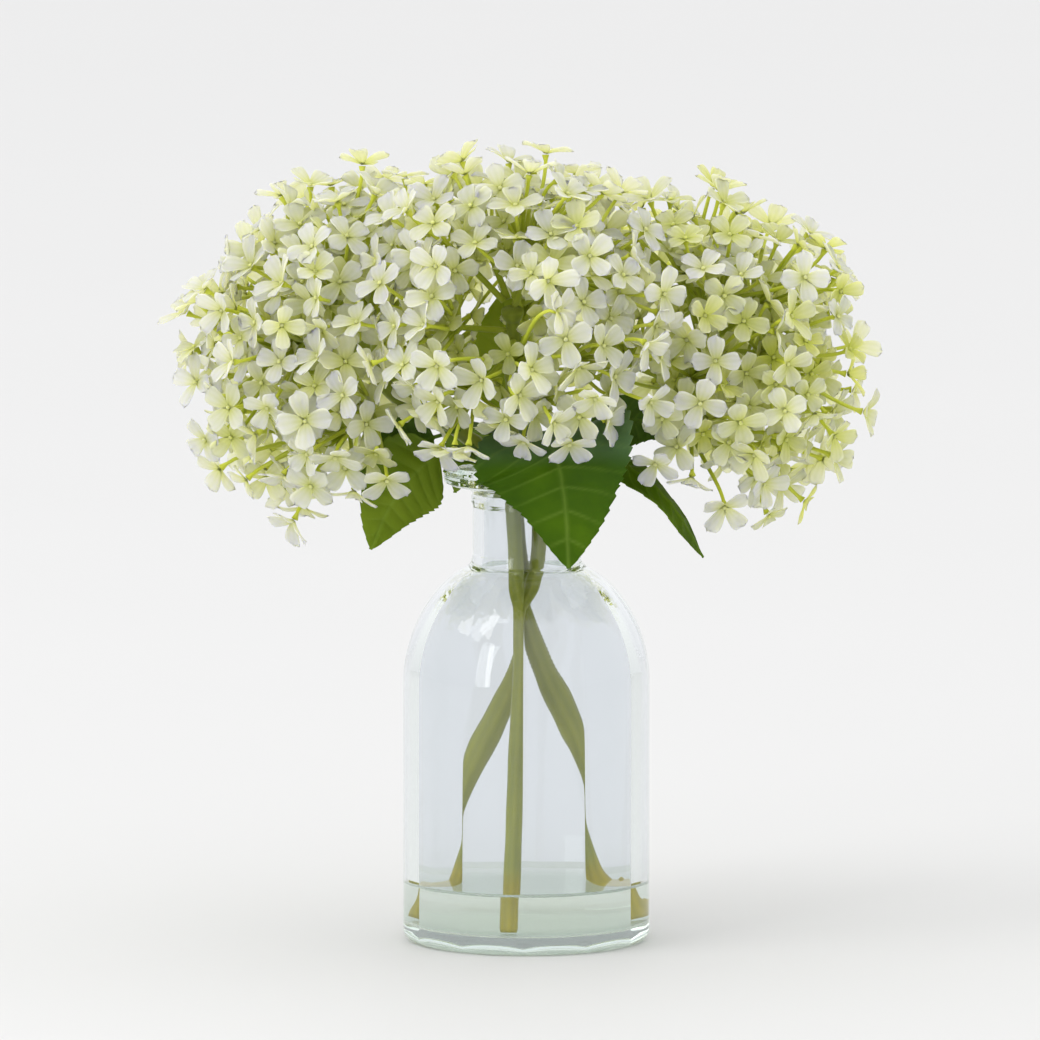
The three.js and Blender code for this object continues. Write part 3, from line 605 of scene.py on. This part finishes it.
def floor_material():
    n = Nodes("floor")
    cloud = n.noise(3, 3.0)
    colour = n.ramp(cloud, (0.3, (0.752, 0.752, 0.753)), (0.7, (0.76, 0.76, 0.761)))
    n.join(colour, n.shader.inputs["Base Color"])
    n.join(n.spread(cloud, 0.3, 0.7, 0.55, 0.7), n.shader.inputs["Roughness"])
    n.shader.inputs["Specular IOR Level"].default_value = 0.25
    return n.material


# ---------- vase and water ----------
def dome(z, r, height):
    return r * math.sqrt(max(0.0, 1 - ((z - SHOULDER_Z) / height) ** 2))


def outer_profile():
    points = [(0, 0)]
    for a in np.linspace(0, math.pi / 2, 9):
        r = BODY_RADIUS - HEEL_RADIUS + HEEL_RADIUS * math.sin(a)
        points.append((r, HEEL_RADIUS * (1 - math.cos(a))))
    for share in np.sin(np.linspace(0, math.pi / 2, 40)):
        z = SHOULDER_Z + (NECK_FOOT - SHOULDER_Z) * share
        points.append((dome(z, BODY_RADIUS, DOME_HEIGHT), z))
    foot = COLLAR_Z - COLLAR_HEIGHT / 2
    head = COLLAR_Z + COLLAR_HEIGHT / 2
    points += [
        (NECK_RADIUS + NECK_FLARE / 6, NECK_FOOT + 0.43 * NECK_BLEND),
        (NECK_RADIUS, NECK_FOOT + NECK_BLEND),
        (NECK_RADIUS, foot - COLLAR_SLOPE),
        (NECK_RADIUS + COLLAR_PROUD, foot + COLLAR_SLOPE / 2),
        (NECK_RADIUS + COLLAR_PROUD, head - COLLAR_SLOPE / 2),
        (NECK_RADIUS, head + COLLAR_SLOPE),
        (NECK_RADIUS + 0.4 * LIP_ROUND, LIP_BOTTOM - 0.7 * LIP_ROUND),
        (LIP_RADIUS - 1.2 * LIP_ROUND, LIP_BOTTOM),
        (LIP_RADIUS - 0.2 * LIP_ROUND, LIP_BOTTOM + 0.4 * LIP_ROUND),
        (LIP_RADIUS, LIP_BOTTOM + 1.2 * LIP_ROUND),
        (LIP_RADIUS, LIP_TOP - 1.4 * LIP_ROUND),
        (LIP_RADIUS - 0.25 * LIP_ROUND, LIP_TOP - 0.6 * LIP_ROUND),
        (LIP_RADIUS - LIP_ROUND, LIP_TOP),
    ]
    return points


def inner_profile():
    inner_height = DOME_HEIGHT - WALL
    points = [
        (NECK_INSIDE + MOUTH_FLARE, LIP_TOP - 0.6),
        (NECK_INSIDE + 0.2 * MOUTH_FLARE, LIP_TOP - 0.43 * MOUTH_DEPTH),
        (NECK_INSIDE, LIP_TOP - MOUTH_DEPTH),
        (NECK_INSIDE, SHOULDER_Z + inner_height + 2),
    ]
    for a in np.linspace(math.asin((NECK_INSIDE + 1.5) / INNER_RADIUS), math.pi / 2, 36):
        points.append((INNER_RADIUS * math.sin(a), SHOULDER_Z + inner_height * math.cos(a)))
    for a in np.linspace(0, math.pi / 2, 8):
        r = INNER_RADIUS - INNER_HEEL * (1 - math.cos(a))
        points.append((r, FLOOR_THICKNESS + INNER_HEEL * (1 - math.sin(a))))
    points.append((0, FLOOR_THICKNESS))
    return points


def flute_inset(r, z, angle):
    crease = np.abs(np.sin(FLUTES / 2 * (angle - math.radians(FLUTE_TURN))))
    crease = np.sqrt(crease ** 2 + 0.0003)  # a crease's own small radius
    at_top = smooth_step(NECK_FOOT - z, 1, 11)
    at_foot = smooth_step(z, -0.5, HEEL_RADIUS)
    return FLUTE_DEPTH * (1 - crease) * at_top * at_foot * (r > NECK_RADIUS)


def build_vase(material):
    outer = rounded(outer_profile() + [inner_profile()[0]], 1.6, 2)
    inner = rounded([outer_profile()[-1]] + inner_profile(), 1.6, 2)
    profile = np.concatenate([outer[:-3], inner[3:]])
    count = len(outer) - 3

    def inset(r, z, angles):
        outside = (np.arange(1, len(profile) - 1) < count)[:, None]
        return np.where(outside, flute_inset(r, z, angles), 0.0)

    shape = Shape()
    shape.add(*lathe(profile, crease_angles(28), inset))
    finish(shape.build("glass_vase", material), "vase")


def build_water(material):
    r = INNER_RADIUS + 0.1  # just into the glass, so that no film of air shows between them
    low = FLOOR_THICKNESS - 0.1
    profile = [(0, low)]
    for a in np.linspace(0, math.pi / 2, 10):
        profile.append((r - INNER_HEEL + INNER_HEEL * math.sin(a), low + INNER_HEEL * (1 - math.cos(a))))
    for climb in (1.5, 1.0, 0.6, 0.3, 0.1, 0.0):
        profile.append((r - 0.9 * (1.5 - climb) ** 1.3, WATER_LEVEL + climb))
    profile.append((0, WATER_LEVEL))
    shape = Shape()
    shape.add(*lathe(rounded(profile, 1.0, 1), crease_angles(20)))
    finish(shape.build("clear_water", material), "water")


# ---------- stems and leaves ----------
def above_lip(place):
    return np.array(place, float) + UP * LIP_TOP


def beyond_lip(place):
    toward, beyond, height = place
    r = LIP_RADIUS + beyond
    return above_lip((r * math.cos(math.radians(toward)), r * math.sin(math.radians(toward)), height))


def placed(place, room, z):
    toward, share = place
    r = share * (room - STEM_RADIUS - CLEARANCE)
    return np.array([r * math.cos(math.radians(toward)), r * math.sin(math.radians(toward)), z])


def rachis_axis(name):
    lean, toward = (math.radians(a) for a in STEMS[name][5:])
    return np.array([math.sin(lean) * math.cos(toward), math.sin(lean) * math.sin(toward), math.cos(lean)])


def stem_route(name):
    on_floor, in_neck, in_mouth, over, foot = STEMS[name][:5]
    neck = placed(in_neck, NECK_INSIDE, NECK_FOOT)
    mouth = placed(in_mouth, NECK_INSIDE, LIP_TOP - MOUTH_DEPTH + 0.5)
    cut_end = placed(on_floor, INNER_RADIUS - INNER_HEEL, FLOOR_THICKNESS)
    slant = unit(neck - cut_end)
    cut_end[2] += CLEARANCE + STEM_RADIUS * math.hypot(slant[0], slant[1])
    foot = above_lip(foot)
    top = foot + rachis_axis(name) * RACHIS_LENGTH
    return [cut_end, (cut_end + neck) / 2, neck, mouth, above_lip(over), foot, top]


def build_stem(name, material):
    route = stem_route(name)
    steps = np.linspace(0, 1, 220)
    path = np.array([curve_point(route, t) for t in steps])
    length = np.concatenate([[0], np.cumsum(np.linalg.norm(np.diff(path, axis=0), axis=1))])
    radii = np.full(len(path), STEM_RADIUS)
    radii *= 1 + 0.03 * np.sin(length / 9.0) + 0.02 * np.sin(length / 3.7 + 1)
    for node_at, size in STEM_KNOTS:
        radii *= 1 + size * np.exp(-((steps - node_at) / 0.012) ** 2)
    radii *= 1 - 0.12 * smooth_step(length, length[-1] - 30, length[-1] - 8)
    radii[0] *= 0.9
    knob = length[-1] - length
    swell = np.sqrt(np.clip(1 - ((knob - 1.0) / 5.0) ** 2, 0, 1))
    radii = np.maximum(radii * (knob > 1.0) + 1.4 * (knob <= 1.0), (KNOB_RADIUS - 0.4) * swell)
    shape = Shape("height", "line")
    angles = np.arange(STEM_SIDES) / STEM_SIDES * 2 * math.pi
    line = 0.5 + 0.5 * np.sin(7 * angles)
    rings = np.concatenate([np.tile(line, len(path)), [0.5, 0.5]])
    height = np.concatenate([np.repeat(length / length[-1], STEM_SIDES), [0, 1]])
    add_tube(
        shape, path, radii, STEM_SIDES, ripple=lambda a: 0.018 * np.sin(7 * a),
        height=height, line=rings,
    )
    finish(shape.build("flower_stem_" + name, material), "stem_" + name)


def midrib(name):
    stem, height, toward, route = LEAVES[name][:4]
    curve = stem_route(stem)
    low, high = 0.0, 1.0
    for _ in range(20):
        middle = (low + high) / 2
        if curve_point(curve, middle)[2] < LIP_TOP + height:
            low = middle
        else:
            high = middle
    way = square_to(np.array(toward, float), curve_tangent(curve, low))
    start = curve_point(curve, low) + way * (STEM_RADIUS + 2 * CLEARANCE)
    return [start] + [beyond_lip(place) for place in route]


def leaf_points():
    """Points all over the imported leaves."""
    places = [packed_mesh(name)[0] for name in LEAVES]
    between = [(place + np.roll(place, 1, axis=0)) / 2 for place in places]
    return np.concatenate(places + between)


def shows_upper_side(points, solid):
    """True if the sheet's first side is the one that faces up and away from the vase's axis."""
    middle = points.reshape(-1, 3).mean(axis=0)
    away = unit(middle * [1, 1, 0]) + UP
    count = len(solid) // 2
    return float((solid[:count] - solid[count:]).mean(axis=0) @ away) > 0


def build_leaf(name, material):
    side, width, fold, petiole = LEAVES[name][4:]
    route = midrib(name)
    rows, columns = LEAF_GRID
    steps = np.linspace(0, 1, rows)
    u = np.linspace(-1, 1, columns)
    teeth = max(9, int(width * 0.36))
    points = np.zeros((rows, columns, 3))
    vein = np.zeros((rows, columns))
    for i, t in enumerate(steps):
        at = curve_point(route, t)
        tangent = curve_tangent(route, t)
        across = square_to(np.array(side, float), tangent)
        normal = np.cross(across, tangent)
        blade = max(0.0, (t - petiole) / (1 - petiole))
        share = math.sin(math.pi * min(1.0, blade) ** 0.62) ** 0.85 if blade > 0 else 0.0
        half = width / 2 * share
        tooth = (blade * teeth) % 1.0
        half *= 1 + TOOTH_DEPTH * (0.5 - tooth) * (blade > 0.04)
        half = max(PETIOLE_WIDTH / 2, half)
        branch = blade * LEAF_VEINS - 1.15 * np.abs(u) ** 1.1 * share
        off_branch = np.abs((branch + 0.5) % 1.0 - 0.5)
        on_branch = np.exp(-(off_branch / 0.055) ** 2) * (blade > 0.03) * (blade < 0.97)
        on_midrib = np.exp(-(u * half / 0.8) ** 2)
        vein[i] = np.maximum(on_branch * (1 - 0.55 * np.abs(u)), on_midrib)
        quilt = 0.55 * np.sin(math.pi * off_branch) * (1 - u ** 4) * min(1.0, half / 8)
        wave = 0.9 * np.sin(blade * 11 + np.sign(u)) * np.abs(u) ** 3 * min(1.0, half / 8)
        lift = quilt + wave - 0.45 * on_midrib * (blade > 0)
        rise = math.radians(fold)
        points[i] = (
            at + np.outer(u * half * math.cos(rise), across)
            + np.outer(np.abs(u) * half * math.sin(rise) + lift, normal)
        )
    solid = thicken(points, LEAF_THICKNESS * 0.55)
    # Painted sheen: the bluish reflection is painted in more the higher a point stands above the lip.
    bloom = PAINTED_SHEEN.get(name, 0.1) * smooth_step(points[:, :, 2], LIP_TOP + 4, LIP_TOP + 16)
    under = np.repeat([0.0, 1.0] if shows_upper_side(points, solid) else [1.0, 0.0], rows * columns)
    shape = Shape("vein", "bloom", "under", "pale")
    shape.add(
        solid, sheet_faces(rows, columns), vein=np.tile(vein.ravel(), 2),
        bloom=np.tile(bloom.ravel(), 2), under=under, pale=PALE_AND_PAINTED_LIGHT.get(name, 0.1),
    )
    finish(shape.build("green_" + name, material), name)


# ---------- flower heads ----------
def packed_mesh(node):
    """The node's points in millimetres, merged where they meet, and each point's neighbours."""
    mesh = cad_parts[node].data
    flat = np.empty(len(mesh.vertices) * 3)
    mesh.vertices.foreach_get("co", flat)
    points, index = np.unique(np.round(flat.reshape(-1, 3) / MM, 2), axis=0, return_inverse=True)
    index = index.ravel()
    near = [set() for _ in points]
    for edge in mesh.edges:
        a, b = index[edge.vertices[0]], index[edge.vertices[1]]
        near[a].add(b)
        near[b].add(a)
    return points, near


def read_florets(points, near):
    """Each floret's middle, facing, pedicel direction and four petal directions."""
    florets = []
    for i, at in enumerate(points):
        if len(near[i]) < FACE_NEIGHBOURS:
            continue
        around = points[sorted(near[i])]
        gaps = np.linalg.norm(around - at, axis=1)
        tips = around[np.abs(gaps - FLORET_REACH) < REACH_TOLERANCE]
        if len(tips) != 4:
            continue
        facing = tips.mean(axis=0) - at
        if np.linalg.norm(facing) < LEAST_CUP:
            continue
        facing = unit(facing)
        middle = at - FACE_LIFT * facing
        behind = points[np.linalg.norm(points - middle, axis=1) < BACK_REACH]
        behind = behind[(behind - middle) @ facing < -BACK_DEPTH]
        if len(behind) < 3:
            continue
        inward = unit(behind.mean(axis=0) - middle)
        ways = [square_to(tip - at, facing) for tip in tips]
        florets.append({"at": middle, "facing": facing, "inward": inward, "ways": ways})
    return florets


def meeting_point(florets):
    """The point nearest to all the pedicels' lines, where the spray forks."""
    total = np.zeros((3, 3))
    target = np.zeros(3)
    for f in florets:
        flat = np.eye(3) - np.outer(f["inward"], f["inward"])
        total += flat
        target += flat @ f["at"]
    return np.linalg.solve(total, target)


def petal_grid(rng, length, width, cup):
    """One petal, from its claw outwards along x, with its facing along z."""
    rows, columns = PETAL_GRID
    u = np.linspace(0.02, 1, rows)[:, None]
    v = np.linspace(-1, 1, columns)[None, :]
    outline = np.maximum(0.16, 1.12 * u ** 0.58 * np.clip(1 - (u * 0.995) ** 5, 0, 1) ** 0.5)
    half = width / 2 * outline
    ruffle = 0.05 * rng.uniform(0.3, 1) * np.sin(5 * v + rng.uniform(0, 6))
    x = length * (u - 0.05 * v ** 2 * u ** 3 + 0.6 * ruffle * u ** 4)
    y = half * v * (1 - 0.05 * u)
    dish = rng.uniform(0.9, 1.7) * v ** 2 * outline
    curl = rng.uniform(-1.2, 1.0) * u ** 3
    crinkle = 0.22 * np.sin(7 * v + rng.uniform(0, 6)) * u ** 2
    crinkle = crinkle + 0.18 * np.sin(9 * u + 3 * v + rng.uniform(0, 6)) * u
    z = length * math.tan(cup) * u * (1 - 0.25 * u) + dish + curl + crinkle
    z = z + 0.1 * np.cos(9 * v * math.pi / 2) * (1 - u * 0.4)
    return np.stack(np.broadcast_arrays(x, y, z), axis=2), u, v


def add_petals(shape, rng, floret, young):
    """The floret's four petals, smaller the younger it is."""
    facing = tilted(floret["facing"], EXTRA_TILT, rng)
    tone = rng.uniform(0, 1)
    size = 1 + 0.07 * rng.standard_normal()
    size = min(1.1, max(0.82, size)) * (1 - 0.28 * max(0.0, young - 0.3))
    base_cup = math.radians(rng.uniform(6, 36))
    ways = [square_to(way, facing) for way in floret["ways"]]
    order = sorted(ways, key=lambda way: math.atan2(*(way @ m for m in frame_of(facing))))
    faces = sheet_faces(*PETAL_GRID)
    for k, straight in enumerate(order):
        sideways = np.cross(facing, straight)
        turn = math.radians(rng.uniform(-5, 5))
        way = math.cos(turn) * straight + math.sin(turn) * sideways
        across = math.cos(turn) * sideways - math.sin(turn) * straight
        grid, u, v = petal_grid(
            rng, PETAL_LENGTH * size * rng.uniform(0.94, 1.05),
            PETAL_WIDTH * size * rng.uniform(0.93, 1.08),
            base_cup + math.radians(rng.uniform(-6, 6)),
        )
        solid = thicken(grid, PETAL_THICKNESS)
        solid[:, 2] += PETAL_OVERLAP * (k % 2)
        placed_points = floret["at"] + solid[:, :1] * way + solid[:, 1:2] * across + solid[:, 2:] * facing
        lines = np.exp(-(((v * 4.5 + 0.5) % 1.0 - 0.5) / 0.16) ** 2) * (1 - 0.45 * u)
        vein = np.tile(np.broadcast_to(lines, PETAL_GRID).ravel(), 2)
        reach = np.tile(np.broadcast_to(u, PETAL_GRID).ravel(), 2)
        shape.add(placed_points, faces, 0, reach=reach, vein=vein, tone=tone, young=young)


def frame_of(axis):
    side = any_square_to(axis)
    return side, np.cross(axis, side)


def add_ball(shape, middle, axis, radius, material, **values):
    """A small bead, a little flattened along axis."""
    side, other = frame_of(axis)
    rows, columns = 6, 10
    polar = np.linspace(0.05, math.pi - 0.05, rows)
    angles = np.linspace(0, 2 * math.pi, columns, endpoint=False)
    ring = np.sin(polar)[:, None] * radius
    points = (
        middle + (ring * np.cos(angles))[:, :, None] * side + (ring * np.sin(angles))[:, :, None] * other
        + (np.cos(polar) * radius * -0.8)[:, None, None] * axis
    )
    faces = [face[::-1] for face in grid_faces(rows, columns, closed=True)]
    shape.add(points, faces, material, **values)


def read_spray(node):
    points, near = packed_mesh(node)
    florets = read_florets(points, near)
    fork = meeting_point(florets)
    way = unit(sum(f["at"] for f in florets) / len(florets) - fork)
    root = points[np.argsort(points @ way)[:6]].mean(axis=0)
    return {"florets": florets, "fork": fork, "root": root, "way": way}


def head_middle(name):
    return above_lip(STEMS[name][4]) + rachis_axis(name) * RACHIS_LENGTH * CENTRE_SHARE


def tilted(axis, most, rng):
    """A direction up to so many degrees off axis, any way round."""
    side, other = frame_of(axis)
    lean = math.radians(most) * math.sqrt(rng.uniform())
    turn = rng.uniform(0, 2 * math.pi)
    return math.cos(lean) * axis + math.sin(lean) * (math.cos(turn) * side + math.sin(turn) * other)


def fill_between(sprays, obstacles):
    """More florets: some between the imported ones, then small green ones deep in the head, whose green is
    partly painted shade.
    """
    rng = np.random.default_rng(5)
    taken = [f["at"] for spray in sprays.values() for f in spray["florets"]]
    for head in STEMS:
        middle = head_middle(head)
        own = [(node, f) for node in sprays if "_" + head + "_" in node for f in sprays[node]["florets"]]
        pairs = []
        for i, (node, a) in enumerate(own):
            for _, b in own[i + 1:]:
                if np.linalg.norm(a["at"] - b["at"]) < FILL_PAIRS:
                    pairs.append((node, (a["at"] + b["at"]) / 2))
        rng.shuffle(pairs)
        layers = [FILL_OUTER] * len(pairs) + [FILL_INNER] * len(pairs)
        for (node, between), (low, high, spacing, young) in zip(pairs + pairs, layers):
            at = middle + (between - middle) * rng.uniform(low, high)
            if np.min(np.linalg.norm(np.array(taken) - at, axis=1)) < spacing:
                continue
            if np.min(np.linalg.norm(obstacles - at, axis=1)) < FILL_TO_LEAF:
                continue
            taken.append(at)
            spray = sprays[node]
            facing = tilted(unit(at - middle), FILL_TILT, rng)
            side, other = frame_of(facing)
            turn = rng.uniform(0, math.pi / 2)
            ways = [
                math.cos(turn + k * math.pi / 2) * side + math.sin(turn + k * math.pi / 2) * other
                for k in range(4)
            ]
            inward = unit(spray["fork"] - at)
            young = young or rng.uniform(0.0, 0.6)
            spray["florets"].append(
                {"at": at, "facing": facing, "inward": inward, "ways": ways, "young": young}
            )


def build_spray(node, spray, petals, stalks):
    """A side branch with its pedicels, and a floret with its bud on each."""
    rng = np.random.default_rng(sum(ord(c) * (i + 1) for i, c in enumerate(node)))
    fork, root = spray["fork"], spray["root"]
    greenest = node.split("_")[1] == "right"
    shape = Shape("reach", "vein", "tone", "young")
    along = fork - root
    branch = bezier(root, root + along * 0.35, root + along * 0.7, fork, BRANCH_RINGS)
    radii = np.linspace(BRANCH_RADIUS, BRANCH_RADIUS * 0.85, BRANCH_RINGS)
    add_tube(shape, branch, radii, 10, 1, reach=0.0)
    add_ball(shape, fork, spray["way"], BRANCH_RADIUS * 1.35, 1, reach=0.1)
    for floret in spray["florets"]:
        at, facing = floret["at"], floret["facing"]
        gap = np.linalg.norm(at - fork)
        young = max(floret.get("young", 0.0), rng.uniform(*(YOUNG_RIGHT if greenest else YOUNG)))
        end = at - facing * 0.5
        bow = any_square_to(floret["inward"]) * rng.uniform(-0.06, 0.06) * gap
        bend = end - facing * 0.26 * gap
        path = bezier(fork, fork + (at - fork) * 0.38 + bow, bend, end, PEDICEL_RINGS)
        t = np.linspace(0, 1, PEDICEL_RINGS)
        radii = PEDICEL_RADIUS * (1 + 0.25 * (1 - t)) + 0.75 * smooth_step(t, 0.93, 1.0)
        reach = np.concatenate([np.repeat(t, PEDICEL_SIDES), [0, 1]])
        add_tube(shape, path, radii, PEDICEL_SIDES, 1, reach=reach)
        add_petals(shape, rng, floret, young)
        add_ball(
            shape, at + facing * 0.9, facing, BUD_RADIUS, 0,
            reach=0.3, tone=0.5, young=0.35 + 0.4 * young,
        )
    finish(shape.build(node.replace("spray", "florets"), petals, stalks), node)


# ---------- the whole thing ----------
def finish(piece, node):
    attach(piece, "root")
    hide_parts(node)


def build_arrangement():
    build_vase(clear_material("glass", (0.88, 0.903, 0.93), 1.52, (0.75, 0.93, 0.82), 5.0, 34))
    build_water(clear_material("water", (0.985, 0.99, 0.96), 1.34, (0.84, 0.92, 0.62), 3.5, 18))
    stem = stem_material()
    for name in STEMS:
        build_stem(name, stem)
    leaf = leaf_material()
    for name in LEAVES:
        build_leaf(name, leaf)
    petals = petal_material()
    stalks = stalk_material()
    nodes = [node for node in sorted(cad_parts) if node.startswith("spray_")]
    sprays = {node: read_spray(node) for node in nodes}
    fill_between(sprays, leaf_points())
    for node, spray in sprays.items():
        build_spray(node, spray, petals, stalks)


def build_floor():
    bpy.ops.mesh.primitive_plane_add(size=40)
    floor = bpy.context.object
    floor.name = "floor"
    floor.data.materials.append(floor_material())


def area_light(name, at, target, size, power, colour):
    light = bpy.data.lights.new(name, "AREA")
    light.shape = "RECTANGLE"
    light.size, light.size_y = size
    light.energy = power
    light.color = colour
    lamp = bpy.data.objects.new(name, light)
    at = np.array(at, float)
    lamp.location = at
    aim(lamp, np.array(target, float) - at)
    bpy.context.scene.collection.objects.link(lamp)


def aim(thing, way):
    thing.rotation_euler = Vector(way).to_track_quat("-Z", "Y").to_euler()


def build_light():
    world = bpy.data.worlds.new("studio")
    bpy.context.scene.world = world
    world.use_nodes = True
    tree = world.node_tree
    place = tree.nodes.new("ShaderNodeTexCoord")
    split = tree.nodes.new("ShaderNodeSeparateXYZ")
    ramp = tree.nodes.new("ShaderNodeValToRGB")
    elements = ramp.color_ramp.elements
    elements[0].position, elements[0].color = 0.0, (0.80, 0.80, 0.81, 1)
    elements[1].position, elements[1].color = 0.5, (0.98, 0.98, 0.98, 1)
    tree.links.new(place.outputs["Generated"], split.inputs["Vector"])
    tree.links.new(split.outputs["Z"], ramp.inputs["Fac"])
    tree.links.new(ramp.outputs["Color"], tree.nodes["Background"].inputs["Color"])
    tree.nodes["Background"].inputs["Strength"].default_value = 1.12
    area_light("key", (-2.6, -1.4, 3.4), (0, 0, 0.15), (1.8, 1.8), 29, (1.0, 0.99, 0.97))
    area_light("strip", (-1.25, -1.6, 0.75), (0, 0, 0.15), (0.35, 1.3), 5, (1.0, 1.0, 1.0))


def build_camera():
    scene = bpy.context.scene
    scene.view_settings.view_transform = "Standard"
    camera = bpy.data.cameras.new("camera")
    camera.sensor_width = 36
    camera.lens = camera.sensor_width * CAMERA_DISTANCE / VIEW_WIDTH
    camera.clip_end = 100
    eye = bpy.data.objects.new("camera", camera)
    elevation = math.radians(CAMERA_ELEVATION)
    way = np.array([0.0, math.cos(elevation), -math.sin(elevation)])
    eye.location = (np.array(CAMERA_TARGET) - way * CAMERA_DISTANCE) * MM
    aim(eye, way)
    scene.collection.objects.link(eye)
    scene.camera = eye


build_arrangement()
build_floor()
build_light()
build_camera()
